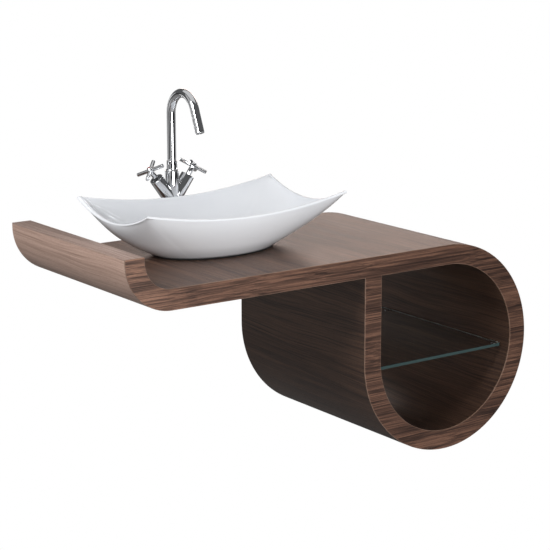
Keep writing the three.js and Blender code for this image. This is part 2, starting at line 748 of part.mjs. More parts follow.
[['hot', -1, HOT_TURN], ['cold', 1, COLD_TURN]].forEach(([name, side, turn]) => {
  // rods are laid out from the direction that leans down and outwards
  const fromDown = side > 0 ? turn - Math.PI / 2 : Math.PI / 2 - turn;
  const pieces = [
    ['cartridge', cartridge(), BRASS],
    ['spindle', spindle(), BRASS],
    ['neck', ring(4.3, 6.6, 80.4, HUB_REACH - 6.5, 24), CHROME],
    ['cross_handle', crossHandle(fromDown), CHROME],
    ['handle_screw', handleScrew(), STEEL],
    ['index_cap', indexCap(), CHROME],
  ];
  pieces.forEach(([piece, geometry, material]) => {
    place(`${name}_${piece}`, onBarrel(geometry, side), material, tapGroup);
  });
});

export default washstand;
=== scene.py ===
import math

import bmesh
import bpy
import numpy as np
from mathutils import Matrix, Vector


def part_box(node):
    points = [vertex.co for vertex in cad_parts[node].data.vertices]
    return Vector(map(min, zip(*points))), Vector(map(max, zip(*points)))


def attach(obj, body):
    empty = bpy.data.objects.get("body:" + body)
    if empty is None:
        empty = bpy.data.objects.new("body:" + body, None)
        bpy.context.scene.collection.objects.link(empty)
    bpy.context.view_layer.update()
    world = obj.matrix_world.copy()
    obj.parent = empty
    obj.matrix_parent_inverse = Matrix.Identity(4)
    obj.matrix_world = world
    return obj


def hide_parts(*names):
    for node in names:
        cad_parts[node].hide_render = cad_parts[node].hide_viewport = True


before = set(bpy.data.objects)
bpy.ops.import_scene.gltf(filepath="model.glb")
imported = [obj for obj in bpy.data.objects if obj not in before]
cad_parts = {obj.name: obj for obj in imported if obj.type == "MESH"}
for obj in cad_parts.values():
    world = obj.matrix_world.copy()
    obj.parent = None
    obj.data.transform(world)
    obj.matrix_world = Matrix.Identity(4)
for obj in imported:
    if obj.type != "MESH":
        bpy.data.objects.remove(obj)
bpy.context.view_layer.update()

# ---- Studio ------------------------------------------------------------------------
# A pale floor well below the hung washstand and a long camera at the left front. One big
# soft box hangs overhead, one high at the left with a wide weak panel beside it, one low in
# front and a warm one behind. Four weak low strips stand all round for the chrome.

CAMERA_PLACE = (-2.5012, -3.7460, 0.9147)
CAMERA_YAW = 35.60
CAMERA_PITCH = -12.76
CAMERA_ROLL = -0.077
CAMERA_LENS = 114.64
FLOOR_LEVEL = -0.85
FLOOR_REACH = 60

camera = bpy.data.objects.new("camera", bpy.data.cameras.new("camera"))
camera.location = CAMERA_PLACE
camera.rotation_euler = (
    Matrix.Rotation(math.radians(-CAMERA_YAW), 3, "Z")
    @ Matrix.Rotation(math.radians(90 + CAMERA_PITCH), 3, "X")
    @ Matrix.Rotation(math.radians(CAMERA_ROLL), 3, "Z")
).to_euler()
camera.data.lens = CAMERA_LENS
camera.data.clip_end = 200
bpy.context.collection.objects.link(camera)
bpy.context.scene.camera = camera
bpy.context.scene.view_settings.view_transform = "Standard"


def node_material(name):
    material = bpy.data.materials.new(name)
    material.use_nodes = True
    material.node_tree.nodes.clear()
    return material, material.node_tree.nodes, material.node_tree.links


def soft_box(name, place, aim, size, power, tint=(1, 1, 1)):
    """A rectangular light turned to a point, and left out of sight itself."""
    light = bpy.data.lights.new(name, "AREA")
    light.shape = "RECTANGLE"
    light.size, light.size_y = size
    light.energy = power
    light.color = tint
    box = bpy.data.objects.new(name, light)
    box.location = place
    box.rotation_euler = (Vector(aim) - Vector(place)).to_track_quat("-Z", "Y").to_euler()
    box.visible_camera = False
    bpy.context.collection.objects.link(box)


def white_to_the_eye(nodes, links, lit, glow, output):
    """Keeps a shader for the light, and shows a white glow where it is looked at directly."""
    white = nodes.new(glow)
    white.inputs["Color"].default_value = (1, 1, 1, 1)
    path = nodes.new("ShaderNodeLightPath")
    choice = nodes.new("ShaderNodeMixShader")
    links.new(path.outputs["Is Camera Ray"], choice.inputs["Fac"])
    links.new(lit, choice.inputs[1])
    links.new(white.outputs[0], choice.inputs[2])
    links.new(choice.outputs["Shader"], output.inputs["Surface"])


AT_SPOUT = (-0.17, -0.05, 0.3)
AT_TAP = (-0.17, -0.05, 0.2)
soft_box("overhead_box", (0.1, 0.1, 2.8), (0, -0.25, 0), (4.4, 3.4), 24)
soft_box("left_box", (-2.5, -0.8, 1.75), (-0.4, -0.2, 0.1), (1.1, 1.1), 60)
soft_box("left_panel", (-3.2, 0.8, 1.6), AT_SPOUT, (2.4, 2.2), 6)
soft_box("front_box", (-0.6, -3.6, 0.15), (0, -0.4, 0), (1.3, 1.6), 84)
soft_box("rear_box", (2.4, 2.5, 1.0), (0.2, -0.2, 0.05), (2.0, 1.0), 20, (1, 0.82, 0.74))
soft_box("left_rear_strip", (-2.4, 1.1, -0.1), AT_TAP, (1.2, 1.4), 2.0)
soft_box("left_front_strip", (-2.8, -1.3, -0.1), AT_TAP, (0.9, 1.3), 1.6)
soft_box("right_strip", (2.6, 0.1, -0.1), AT_TAP, (1.4, 1.4), 3.2)
soft_box("rear_strip", (-1.0, 2.9, -0.1), AT_TAP, (1.4, 1.4), 4.5)

world = bpy.data.worlds.new("studio")
bpy.context.scene.world = world
world.use_nodes = True
nodes, links = world.node_tree.nodes, world.node_tree.links
dim = nodes["Background"]
dim.inputs["Color"].default_value = (0.97, 0.98, 1, 1)
dim.inputs["Strength"].default_value = 0.10
white_to_the_eye(
    nodes, links, dim.outputs["Background"], "ShaderNodeBackground", nodes["World Output"],
)

floor_corners = [(-1, -1), (1, -1), (1, 1), (-1, 1)]
floor_mesh = bpy.data.meshes.new("floor")
floor_mesh.from_pydata(
    [(x * FLOOR_REACH, y * FLOOR_REACH, FLOOR_LEVEL) for x, y in floor_corners], [], [(0, 1, 2, 3)],
)
floor = bpy.data.objects.new("floor", floor_mesh)
bpy.context.collection.objects.link(floor)
pale, nodes, links = node_material("pale_floor")
matt = nodes.new("ShaderNodeBsdfDiffuse")
matt.inputs["Color"].default_value = (0.30, 0.30, 0.30, 1)
floor_out = nodes.new("ShaderNodeOutputMaterial")
white_to_the_eye(nodes, links, matt.outputs["BSDF"], "ShaderNodeEmission", floor_out)
floor_mesh.materials.append(pale)

# ---- Walnut band ---------------------------------------------------------------------
# The washstand's body: moulded ply bent up into a lip at the left and rolled round into
# a loop at the right, then veneered in walnut with the grain running front to back.

band_lo, band_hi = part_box("loop_shell")
lip_lo, lip_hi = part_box("lip_bend")
edging_lo, edging_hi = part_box("lip_top_edging")
counter_lo, counter_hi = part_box("counter_panel")
facing_lo, facing_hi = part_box("front_facing")

BOARD = counter_hi.z - counter_lo.z
LEFT = lip_lo.x
TOP = counter_hi.z
UNDER = counter_lo.z
LIP_TOP = edging_hi.z
FRONT = facing_lo.y
CORE_FRONT = facing_hi.y
LIP_RADIUS = lip_hi.x - LEFT
BEND = (lip_hi.x, UNDER + LIP_RADIUS)
LOOP_RADIUS = (band_hi.x - band_lo.x) / 2
LOOP = ((band_hi.x + band_lo.x) / 2, TOP - LOOP_RADIUS)
DIVIDER = band_lo.x
ARRIS = 0.0005


def arc(centre, radius, start, end, step=1.5):
    count = max(2, round(abs(end - start) / step))
    angles = np.radians(np.linspace(start, end, count + 1))
    return [(centre[0] + radius * math.cos(a), centre[1] + radius * math.sin(a)) for a in angles]


def link_mesh(name, vertices, faces, materials=(), smooth=True):
    mesh = bpy.data.meshes.new(name)
    mesh.from_pydata([tuple(v) for v in vertices], [], faces)
    mesh.validate()
    for material in materials:
        mesh.materials.append(material)
    piece = bpy.data.objects.new(name, mesh)
    bpy.context.collection.objects.link(piece)
    if smooth:
        smooth_by_angle(piece)
    return piece


def smooth_by_angle(piece, degrees=32):
    piece.data.polygons.foreach_set("use_smooth", [True] * len(piece.data.polygons))
    piece.data.set_sharp_from_angle(angle=math.radians(degrees))


def keep_result(piece):
    """Replaces the piece's mesh by what its modifiers make of it, and drops the modifiers."""
    bpy.context.view_layer.update()
    evaluated = piece.evaluated_get(bpy.context.evaluated_depsgraph_get())
    mesh = bpy.data.meshes.new_from_object(evaluated)
    if piece.type != "MESH":
        made = bpy.data.objects.new(piece.name + "_mesh", mesh)
        bpy.context.collection.objects.link(made)
        name = piece.name
        bpy.data.objects.remove(piece)
        made.name = name
        return made
    piece.modifiers.clear()
    piece.data = mesh
    return piece


def settle(piece, body, replaced=()):
    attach(piece, body)
    if replaced:
        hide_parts(*replaced)


def new_group(name, inputs, outputs):
    group = bpy.data.node_groups.new(name, "ShaderNodeTree")
    for label, kind, value in inputs:
        socket = group.interface.new_socket(label, in_out="INPUT", socket_type=kind)
        if value is not None:
            socket.default_value = value
    for label, kind in outputs:
        group.interface.new_socket(label, in_out="OUTPUT", socket_type=kind)
    return group, group.nodes.new("NodeGroupInput"), group.nodes.new("NodeGroupOutput")


def math_node(nodes, links, operation, *values, clamp=False):
    node = nodes.new("ShaderNodeMath")
    node.operation = operation
    node.use_clamp = clamp
    for socket, value in zip(node.inputs, values):
        if isinstance(value, (int, float)):
            socket.default_value = value
        else:
            links.new(value, socket)
    return node.outputs[0]


def noise_node(nodes, links, vector, detail=3.0, roughness=0.55, scale=1.0):
    node = nodes.new("ShaderNodeTexNoise")
    node.inputs["Scale"].default_value = scale
    node.inputs["Detail"].default_value = detail
    node.inputs["Roughness"].default_value = roughness
    links.new(vector, node.inputs["Vector"])
    return node.outputs["Fac"]


def scaled(nodes, links, vector, factors):
    node = nodes.new("ShaderNodeVectorMath")
    node.operation = "MULTIPLY"
    links.new(vector, node.inputs[0])
    node.inputs[1].default_value = factors
    return node.outputs[0]


def ramp_node(nodes, links, value, stops):
    node = nodes.new("ShaderNodeValToRGB")
    elements = node.color_ramp.elements
    while len(elements) < len(stops):
        elements.new(0.5)
    for element, (position, colour) in zip(elements, stops):
        element.position = position
        element.color = (*colour, 1)
    links.new(value, node.inputs["Fac"])
    return node.outputs["Color"]


def mix_colour(nodes, links, factor, first, second, blend="MIX"):
    node = nodes.new("ShaderNodeMix")
    node.data_type = "RGBA"
    node.blend_type = blend
    for socket, value in ((node.inputs[0], factor), (node.inputs[6], first), (node.inputs[7], second)):
        if isinstance(value, (int, float)):
            socket.default_value = value
        elif isinstance(value, tuple):
            socket.default_value = (*value, 1)
        else:
            links.new(value, socket)
    return node.outputs[2]


def map_range(nodes, links, value, low=0.0, high=1.0, kind="LINEAR"):
    """A mask that is 0 where the value is low and 1 where it is high."""
    node = nodes.new("ShaderNodeMapRange")
    node.interpolation_type = kind
    for label, limit in (("From Min", low), ("From Max", high)):
        if isinstance(limit, (int, float)):
            node.inputs[label].default_value = limit
        else:
            links.new(limit, node.inputs[label])
    links.new(value, node.inputs["Value"])
    return node.outputs["Result"]


def place_group(nodes, group, values):
    """Places a node group in a material, with that material's own values."""
    node = nodes.new("ShaderNodeGroup")
    node.node_tree = group
    for label, value in values.items():
        node.inputs[label].default_value = (*value, 1) if isinstance(value, tuple) else value
    return node


# Walnut figure: the vector's X runs across the grain, Y along it, in metres.
walnut_figure, group_in, group_out = new_group(
    "walnut_figure",
    [
        ("Vector", "NodeSocketVector", None),
        ("Dark", "NodeSocketColor", (0.040, 0.021, 0.015, 1)),
        ("Middle", "NodeSocketColor", (0.125, 0.065, 0.045, 1)),
        ("Light", "NodeSocketColor", (0.245, 0.135, 0.090, 1)),
        ("Contrast", "NodeSocketFloat", 1.0),
        ("Veins", "NodeSocketFloat", 0.25),
    ],
    [("Color", "NodeSocketColor"), ("Roughness", "NodeSocketFloat"), ("Height", "NodeSocketFloat")],
)
nodes, links = walnut_figure.nodes, walnut_figure.links
grain = group_in.outputs["Vector"]
sway = noise_node(nodes, links, scaled(nodes, links, grain, (5, 1.6, 5)), 2)
sway = math_node(nodes, links, "MULTIPLY_ADD", sway, 0.05, -0.025)
sway_vector = nodes.new("ShaderNodeCombineXYZ")
links.new(sway, sway_vector.inputs["X"])
bent = nodes.new("ShaderNodeVectorMath")
links.new(grain, bent.inputs[0])
links.new(sway_vector.outputs[0], bent.inputs[1])
bent = bent.outputs[0]
broad = noise_node(nodes, links, scaled(nodes, links, bent, (24, 0.9, 24)), 2, 0.5)
streak = noise_node(nodes, links, scaled(nodes, links, bent, (230, 2.4, 230)), 2, 0.6)
fine = noise_node(nodes, links, scaled(nodes, links, bent, (560, 5.5, 560)), 2, 0.6)
veins = noise_node(nodes, links, scaled(nodes, links, bent, (55, 0.8, 55)), 2, 0.5)
veins = math_node(nodes, links, "SUBTRACT", veins, 0.5)
veins = math_node(nodes, links, "ABSOLUTE", veins, 0.0)
vein_mask = map_range(nodes, links, veins, 0.022, 0.004)
vein_dark = math_node(nodes, links, "MULTIPLY", vein_mask, group_in.outputs["Veins"])
pores = noise_node(nodes, links, scaled(nodes, links, bent, (2300, 85, 2300)), 1, 0.5)
figure = math_node(nodes, links, "MULTIPLY", broad, 0.20)
figure = math_node(nodes, links, "MULTIPLY_ADD", streak, 0.42, figure)
figure = math_node(nodes, links, "MULTIPLY_ADD", fine, 0.38, figure)
figure = math_node(nodes, links, "SUBTRACT", figure, 0.5)
figure = math_node(nodes, links, "MULTIPLY", figure, group_in.outputs["Contrast"])
shade = math_node(nodes, links, "MULTIPLY_ADD", figure, 4.0, 0.5, clamp=True)
low = map_range(nodes, links, shade, 0.0, 0.45)
high = map_range(nodes, links, shade, 0.45, 1.0)
tone = mix_colour(nodes, links, low, group_in.outputs["Dark"], group_in.outputs["Middle"])
tone = mix_colour(nodes, links, high, tone, group_in.outputs["Light"])
tone = mix_colour(nodes, links, vein_dark, tone, group_in.outputs["Dark"])
pore_mask = map_range(nodes, links, pores, 0.57, 0.68)
pore_dark = math_node(nodes, links, "MULTIPLY", pore_mask, 0.55)
tone = mix_colour(nodes, links, pore_dark, tone, group_in.outputs["Dark"])
links.new(tone, group_out.inputs["Color"])
rough = math_node(nodes, links, "MULTIPLY_ADD", streak, 0.14, 0.36)
rough = math_node(nodes, links, "MULTIPLY_ADD", pore_mask, 0.12, rough)
links.new(rough, group_out.inputs["Roughness"])
relief = math_node(nodes, links, "MULTIPLY_ADD", fine, 0.35, 0.5)
relief = math_node(nodes, links, "MULTIPLY_ADD", pore_mask, -0.5, relief)
links.new(relief, group_out.inputs["Height"])

# Multiplies a colour down into a tint over a stretch of some position: painted shade on
# the face veneer, and a plain darkening of the front facing from near its left end on.
tint_fade, group_in, group_out = new_group(
    "tint_fade",
    [
        ("Color", "NodeSocketColor", None),
        ("Position", "NodeSocketFloat", 0.0),
        ("From", "NodeSocketFloat", 0.0),
        ("To", "NodeSocketFloat", 1.0),
        ("Tint", "NodeSocketColor", (1, 1, 1, 1)),
    ],
    [("Color", "NodeSocketColor")],
)
nodes, links = tint_fade.nodes, tint_fade.links
fade_mask = map_range(
    nodes, links, group_in.outputs["Position"],
    group_in.outputs["From"], group_in.outputs["To"], "SMOOTHSTEP",
)
tinted = mix_colour(
    nodes, links, fade_mask, group_in.outputs["Color"], group_in.outputs["Tint"], "MULTIPLY",
)
links.new(tinted, group_out.inputs["Color"])


def finish_surface(nodes, links, colour, roughness, height, relief_size, constants):
    """Principled surface fed by a group's colour, roughness and height outputs."""
    surface = nodes.new("ShaderNodeBsdfPrincipled")
    output = nodes.new("ShaderNodeOutputMaterial")
    links.new(colour, surface.inputs["Base Color"])
    links.new(roughness, surface.inputs["Roughness"])
    bump = nodes.new("ShaderNodeBump")
    bump.inputs["Strength"].default_value = 0.5
    bump.inputs["Distance"].default_value = relief_size
    links.new(height, bump.inputs["Height"])
    links.new(bump.outputs["Normal"], surface.inputs["Normal"])
    for label, value in constants.items():
        surface.inputs[label].default_value = value
    links.new(surface.outputs["BSDF"], output.inputs["Surface"])


WOOD_RELIEF = 0.00025


def walnut(name, source, turn, tones, darker_stretch=None):
    """Walnut whose grain runs along the source vector's Y once it is turned.

    The last argument gives the stretch of the source's X over which the colour is multiplied
    down into a tint, and that tint.
    """
    material, nodes, links = node_material(name)
    coordinates = nodes.new("ShaderNodeTexCoord")
    mapping = nodes.new("ShaderNodeMapping")
    mapping.inputs["Rotation"].default_value = turn
    links.new(coordinates.outputs[source], mapping.inputs["Vector"])
    figure = place_group(nodes, walnut_figure, tones)
    links.new(mapping.outputs["Vector"], figure.inputs["Vector"])
    colour = figure.outputs["Color"]
    if darker_stretch:
        split = nodes.new("ShaderNodeSeparateXYZ")
        links.new(coordinates.outputs[source], split.inputs[0])
        change = place_group(nodes, tint_fade, darker_stretch)
        links.new(colour, change.inputs["Color"])
        links.new(split.outputs["X"], change.inputs["Position"])
        colour = change.outputs["Color"]
    finish_surface(
        nodes, links, colour, figure.outputs["Roughness"], figure.outputs["Height"],
        WOOD_RELIEF, {"IOR": 1.5, "Specular IOR Level": 0.38},
    )
    return material


GRAIN_ALONG_Y = (0, 0, 0)
GRAIN_ALONG_X = (0, 0, math.radians(90))

# Painted shade: from 1.25 to 1.45 m along the band on, and over all of the outer face, this veneer is
# multiplied down by the tint, standing in for the shade on the loop, the divider and the counter's underside.
face_walnut = walnut(
    "walnut_face_veneer", "UV", GRAIN_ALONG_Y,
    {
        "Dark": (0.054, 0.029, 0.021), "Middle": (0.118, 0.067, 0.047), "Light": (0.200, 0.116, 0.078),
        "Contrast": 1.5, "Veins": 0.45,
    },
    darker_stretch={"From": 1.25, "To": 1.45, "Tint": (0.46, 0.43, 0.41)},
)
# The lip's outer face: walnut in tones well above the rest, a painted sheen and light standing in for the
# lacquer's glow and the left light on that face.
lip_walnut_painted_sheen = walnut(
    "walnut_lip_veneer_painted_sheen", "UV", GRAIN_ALONG_Y,
    {
        "Dark": (0.255, 0.160, 0.122), "Middle": (0.425, 0.286, 0.228), "Light": (0.595, 0.416, 0.340),
        "Contrast": 0.8, "Veins": 0.3,
    },
)

# The ply core with its laminations, seen at the back and inside the holes.
SHEET = 0.003
ply_layers, group_in, group_out = new_group(
    "ply_layers",
    [("Depth", "NodeSocketFloat", 0.0), ("Vector", "NodeSocketVector", None)],
    [("Color", "NodeSocketColor"), ("Roughness", "NodeSocketFloat"), ("Height", "NodeSocketFloat")],
)
nodes, links = ply_layers.nodes, ply_layers.links
sheet_wave = math_node(nodes, links, "MULTIPLY", group_in.outputs["Depth"], 2 * math.pi / SHEET)
sheet_wave = math_node(nodes, links, "SINE", sheet_wave)
sheet_mask = math_node(nodes, links, "MULTIPLY_ADD", sheet_wave, 1.6, 0.5, clamp=True)
fibre = noise_node(nodes, links, scaled(nodes, links, group_in.outputs["Vector"], (900, 160, 900)), 3)
layer = mix_colour(nodes, links, sheet_mask, (0.50, 0.34, 0.20), (0.33, 0.20, 0.11))
fibre_dark = math_node(nodes, links, "MULTIPLY", fibre, 0.5)
layer = mix_colour(nodes, links, fibre_dark, layer, (0.22, 0.13, 0.07))
links.new(layer, group_out.inputs["Color"])
links.new(math_node(nodes, links, "MULTIPLY_ADD", fibre, 0.2, 0.6), group_out.inputs["Roughness"])
links.new(fibre, group_out.inputs["Height"])


def ply(name, source, axis):
    """Ply whose sheets lie one over the other along the source vector's axis."""
    material, nodes, links = node_material(name)
    coordinates = nodes.new("ShaderNodeTexCoord")
    split = nodes.new("ShaderNodeSeparateXYZ")
    links.new(coordinates.outputs[source], split.inputs[0])
    layers = place_group(nodes, ply_layers, {})
    links.new(split.outputs[axis], layers.inputs["Depth"])
    links.new(coordinates.outputs["Object"], layers.inputs["Vector"])
    finish_surface(
        nodes, links, layers.outputs["Color"], layers.outputs["Roughness"], layers.outputs["Height"],
        0.0002, {},
    )
    return material


core_ply = ply("moulded_ply_core", "UV", "X")

# Pairs of points on the band's two faces, from the lip's top round to the divider's top.
inner_face = [(LEFT + BOARD, edging_lo.z), (LEFT + BOARD, BEND[1])]
outer_face = [(LEFT, edging_lo.z), (LEFT, BEND[1])]
inner_face += arc(BEND, LIP_RADIUS - BOARD, 180, 270)
outer_face += arc(BEND, LIP_RADIUS, 180, 270)
inner_face += arc(LOOP, LOOP_RADIUS, 90, -180)
outer_face += arc(LOOP, LOOP_RADIUS - BOARD, 90, -180)
inner_face += [(DIVIDER, UNDER)]
outer_face += [(DIVIDER + BOARD, UNDER)]


def running_length(points):
    steps = np.linalg.norm(np.diff(np.array(points), axis=0), axis=1)
    return np.concatenate([[0], np.cumsum(steps)])


def band_body():
    """Sweeps a slab section, with its rear arrises eased, along the pairs of points.

    Its grain map runs along the band and into its depth, and the outer face starts
    outer_leaf further on, so that both faces don't show the same figure. That offset also
    puts all of the outer face past the lip under the face veneer's painted shade.
    """
    section = [
        (0, CORE_FRONT), (0, -ARRIS), (ARRIS / BOARD, 0),
        (1 - ARRIS / BOARD, 0), (1, -ARRIS), (1, CORE_FRONT),
    ]
    size = len(section)
    lip_stations = 1 + len(arc(BEND, LIP_RADIUS, 180, 270))
    outer_leaf = 3.7
    vertices = []
    for (ax, az), (bx, bz) in zip(inner_face, outer_face):
        vertices += [(ax + (bx - ax) * t, y, az + (bz - az) * t) for t, y in section]
    faces = []
    kinds = []
    for i in range(len(inner_face) - 1):
        for j in range(size):
            k = (j + 1) % size
            faces.append((i * size + j, (i + 1) * size + j, (i + 1) * size + k, i * size + k))
            kinds.append(j)
    faces.append(tuple(range(size)))
    faces.append(tuple(reversed(range((len(inner_face) - 1) * size, len(inner_face) * size))))
    kinds += [2, 2]
    band = link_mesh("walnut_band", vertices, faces, (face_walnut, core_ply, lip_walnut_painted_sheen), smooth=False)
    lengths = (running_length(inner_face), running_length(outer_face))
    uv = band.data.uv_layers.new(name="UVMap")
    side_length = {0: 0, 1: 0, 3: 1, 4: 1}
    for polygon, kind in zip(band.data.polygons, kinds):
        polygon.material_index = 1 if kind in (2, 5) else 0
        # The lip's outer face takes the lighter walnut with its painted sheen.
        if kind in (3, 4) and polygon.index // size < lip_stations:
            polygon.material_index = 2
        for loop in polygon.loop_indices:
            vertex = band.data.loops[loop].vertex_index
            station, corner = divmod(vertex, size)
            if kind in side_length:
                side = side_length[kind]
                u = lengths[side][station] + outer_leaf * side
                v = section[corner][1]
            else:
                u = section[corner][0] * BOARD
                v = lengths[0][station]
            uv.data[loop].uv = (u, v)
    return band


band = band_body()
recalculated = bmesh.new()
recalculated.from_mesh(band.data)
bmesh.ops.recalc_face_normals(recalculated, faces=recalculated.faces)
recalculated.to_mesh(band.data)
recalculated.free()
smooth_by_angle(band)


def turned(name, profile, material, segments=96, axis_place=None):
    """A profile of (radius, height) turned about Z: it starts and ends on the axis, or closes."""
    closed = profile[0] == profile[-1]
    rings = profile[:-1] if closed else profile
    vertices = []
    index = []
    for radius, height in rings:
        if radius < 1e-9:
            index.append([len(vertices)] * segments)
            vertices.append((0, 0, height))
            continue
        index.append([len(vertices) + i for i in range(segments)])
        for i in range(segments):
            angle = 2 * math.pi * i / segments
            vertices.append((radius * math.cos(angle), radius * math.sin(angle), height))
    faces = []
    pairs = list(zip(index, index[1:] + ([index[0]] if closed else [])))
    for lower, upper in pairs:
        for i in range(segments):
            k = (i + 1) % segments
            corners = [lower[i], lower[k], upper[k], upper[i]]
            corners = [c for n, c in enumerate(corners) if c not in corners[:n]]
            if len(corners) > 2:
                faces.append(tuple(corners))
    piece = link_mesh(name, vertices, faces, (material,))
    if axis_place is not None:
        piece.data.transform(axis_place)
    return piece


def combine(piece, tool, operation):
    """Joins, cuts or trims a piece with a tool, which is used up."""
    step = piece.modifiers.new(operation.lower(), "BOOLEAN")
    step.operation = operation
    step.solver = "EXACT"
    step.object = tool
    piece = keep_result(piece)
    bpy.data.objects.remove(tool)
    smooth_by_angle(piece)
    return piece


# Clear holes for the waste and for the tap's shank, drilled from above.
WASTE_HOLE = 0.023
SHANK_PLAY = 0.004
shank_lo, shank_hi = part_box("tap_shank")
SHANK = (shank_hi.x - shank_lo.x) / 2

for node, radius in (("waste_body", WASTE_HOLE), ("tap_shank", SHANK + SHANK_PLAY)):
    node_lo, node_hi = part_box(node)
    place = Matrix.Translation(((node_lo.x + node_hi.x) / 2, (node_lo.y + node_hi.y) / 2, 0))
    outline = [(0, UNDER - 0.01), (radius, UNDER - 0.01), (radius, TOP + 0.01), (0, TOP + 0.01)]
    band = combine(band, turned("drill", outline, core_ply, 48, place), "DIFFERENCE")
settle(band, "root", ("lip_bend", "counter_panel", "loop_shell", "divider_panel"))

# ---- Front facing and lip edging --------------------------------------------------------
# One wide walnut sheet covers the front edge, grain across, so it has no mitre where the
# divider meets the counter. A fine pale border round it shows the cut edge of the face veneer,
# its pale tone also a painted highlight on the eased arris.

VENEER = 0.0010
FACING_STEP = 0.0003
FACING_SHEET = 0.0012
# Pale border: the veneer's cut edge, lightened further as a painted highlight on the arris.
veneer_edge_and_highlight = walnut(
    "walnut_veneer_edge_and_highlight", "Object", GRAIN_ALONG_X,
    {"Dark": (0.14, 0.080, 0.056), "Middle": (0.22, 0.135, 0.097), "Light": (0.30, 0.195, 0.145)},
)
edge_walnut = walnut(
    "walnut_front_facing", "Object", GRAIN_ALONG_X,
    {
        "Dark": (0.042, 0.022, 0.016), "Middle": (0.150, 0.079, 0.054), "Light": (0.320, 0.172, 0.114),
        "Contrast": 1.4, "Veins": 0.7,
    },
    darker_stretch={"From": -0.57, "To": -0.42, "Tint": (0.64, 0.61, 0.60)},
)
trim_walnut = walnut(
    "walnut_lip_edging", "Object", GRAIN_ALONG_Y,
    {"Dark": (0.208, 0.137, 0.111), "Middle": (0.338, 0.240, 0.202), "Light": (0.468, 0.345, 0.293)},
)


def facing_outlines(inset):
    """The front's outer outline and the loop's opening, both drawn in by inset."""
    lip_inside = LEFT + BOARD - inset
    outer = [(LEFT + inset, LIP_TOP - inset)]
    outer += arc(BEND, LIP_RADIUS - inset, 180, 270)
    outer += [(DIVIDER + inset, UNDER + inset)]
    outer += arc(LOOP, LOOP_RADIUS - inset, 180, 450)
    outer += arc(BEND, LIP_RADIUS - BOARD + inset, 270, 180)
    outer += [(lip_inside, LIP_TOP - inset)]
    hole = [(DIVIDER + BOARD - inset, UNDER + inset)]
    hole += arc(LOOP, LOOP_RADIUS - BOARD + inset, 90, -180)
    return outer, hole


def facing_plate(name, inset, y_front, y_back, arris, material):
    """The whole front's outline, drawn in by inset, as a plate with eased arrises."""
    curve = bpy.data.curves.new(name, "CURVE")
    curve.dimensions = "2D"
    curve.fill_mode = "BOTH"
    for points in facing_outlines(inset + arris):
        spline = curve.splines.new("POLY")
        spline.points.add(len(points) - 1)
        for point, (x, z) in zip(spline.points, points):
            point.co = (x, z, 0, 1)
        spline.use_cyclic_u = True
    curve.extrude = (y_back - y_front) / 2 - arris
    curve.bevel_depth = arris
    curve.bevel_resolution = 1
    piece = bpy.data.objects.new(name, curve)
    bpy.context.collection.objects.link(piece)
    piece = keep_result(piece)
    turn = Matrix.Translation((0, (y_front + y_back) / 2, 0)) @ Matrix.Rotation(math.pi / 2, 4, "X")
    piece.data.transform(turn)
    piece.data.materials.clear()
    piece.data.materials.append(material)
    smooth_by_angle(piece, 25)
    return piece


# The border shows round the sheet, which lies in front of it and is drawn in by its width.
border = facing_plate("front_veneer_edge_and_highlight", 0, FRONT + FACING_STEP, CORE_FRONT, 0.0003, veneer_edge_and_highlight)
settle(border, "root")
sheet_back = FRONT + FACING_SHEET
facing = facing_plate("front_facing_sheet", VENEER, FRONT, sheet_back, 0.0002, edge_walnut)
settle(facing, "root", ("front_facing",))


def eased_block(name, lo, hi, radius, material, segments=3, corner=None):
    """A block with its arrises rounded, and its upright corners by more if corner is given."""
    shape = bmesh.new()
    bmesh.ops.create_cube(shape, size=1)
    size = Vector(hi) - Vector(lo)
    middle = (Vector(hi) + Vector(lo)) / 2
    shape.transform(Matrix.Translation(middle) @ Matrix.Diagonal((*size, 1)))
    if corner:
        upright = [e for e in shape.edges if abs(e.verts[0].co.z - e.verts[1].co.z) > size.z / 2]
        bmesh.ops.bevel(shape, geom=upright, offset=corner, segments=8, affect="EDGES", profile=0.5)
    sharp = [e for e in shape.edges if e.calc_face_angle(0) > math.radians(40)]
    bmesh.ops.bevel(shape, geom=sharp, offset=radius, segments=segments, affect="EDGES", profile=0.5)
    mesh = bpy.data.meshes.new(name)
    shape.to_mesh(mesh)
    shape.free()
    mesh.materials.append(material)
    piece = bpy.data.objects.new(name, mesh)
    bpy.context.collection.objects.link(piece)
    smooth_by_angle(piece)
    return piece


edging = eased_block("lip_edging_strip", edging_lo, edging_hi, 0.0006, trim_walnut)
settle(edging, "root", ("lip_top_edging",))


def finish_nodes(material, *names):
    """Gives a finish to hidden pieces that are shown as they are in the frame."""
    for name in names:
        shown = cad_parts[name].data
        shown.materials.clear()
        shown.materials.append(material)


tongue_ply = ply("tongue_ply", "Object", "Z")
finish_nodes(tongue_ply, "lip_tongue", "loop_tongue", "divider_top_tongue", "divider_foot_tongue")

# ---- Glass shelf -----------------------------------------------------------------------
# Eight-millimetre float glass, its ground edges dark green because light runs the whole
# width of the pane to reach them. It lies on four steel pins with black rubber sleeves.

glass, nodes, links = node_material("float_glass")
coordinates = nodes.new("ShaderNodeTexCoord")
haze = noise_node(nodes, links, scaled(nodes, links, coordinates.outputs["Object"], (9, 9, 9)), 2)
glass_surface = nodes.new("ShaderNodeBsdfPrincipled")
glass_out = nodes.new("ShaderNodeOutputMaterial")
tint = ramp_node(nodes, links, haze, [(0.3, (0.93, 0.965, 0.955)), (0.7, (0.95, 0.975, 0.965))])
links.new(tint, glass_surface.inputs["Base Color"])
links.new(math_node(nodes, links, "MULTIPLY", haze, 0.02), glass_surface.inputs["Roughness"])
glass_surface.inputs["Transmission Weight"].default_value = 1
glass_surface.inputs["IOR"].default_value = 1.52
links.new(glass_surface.outputs["BSDF"], glass_out.inputs["Surface"])

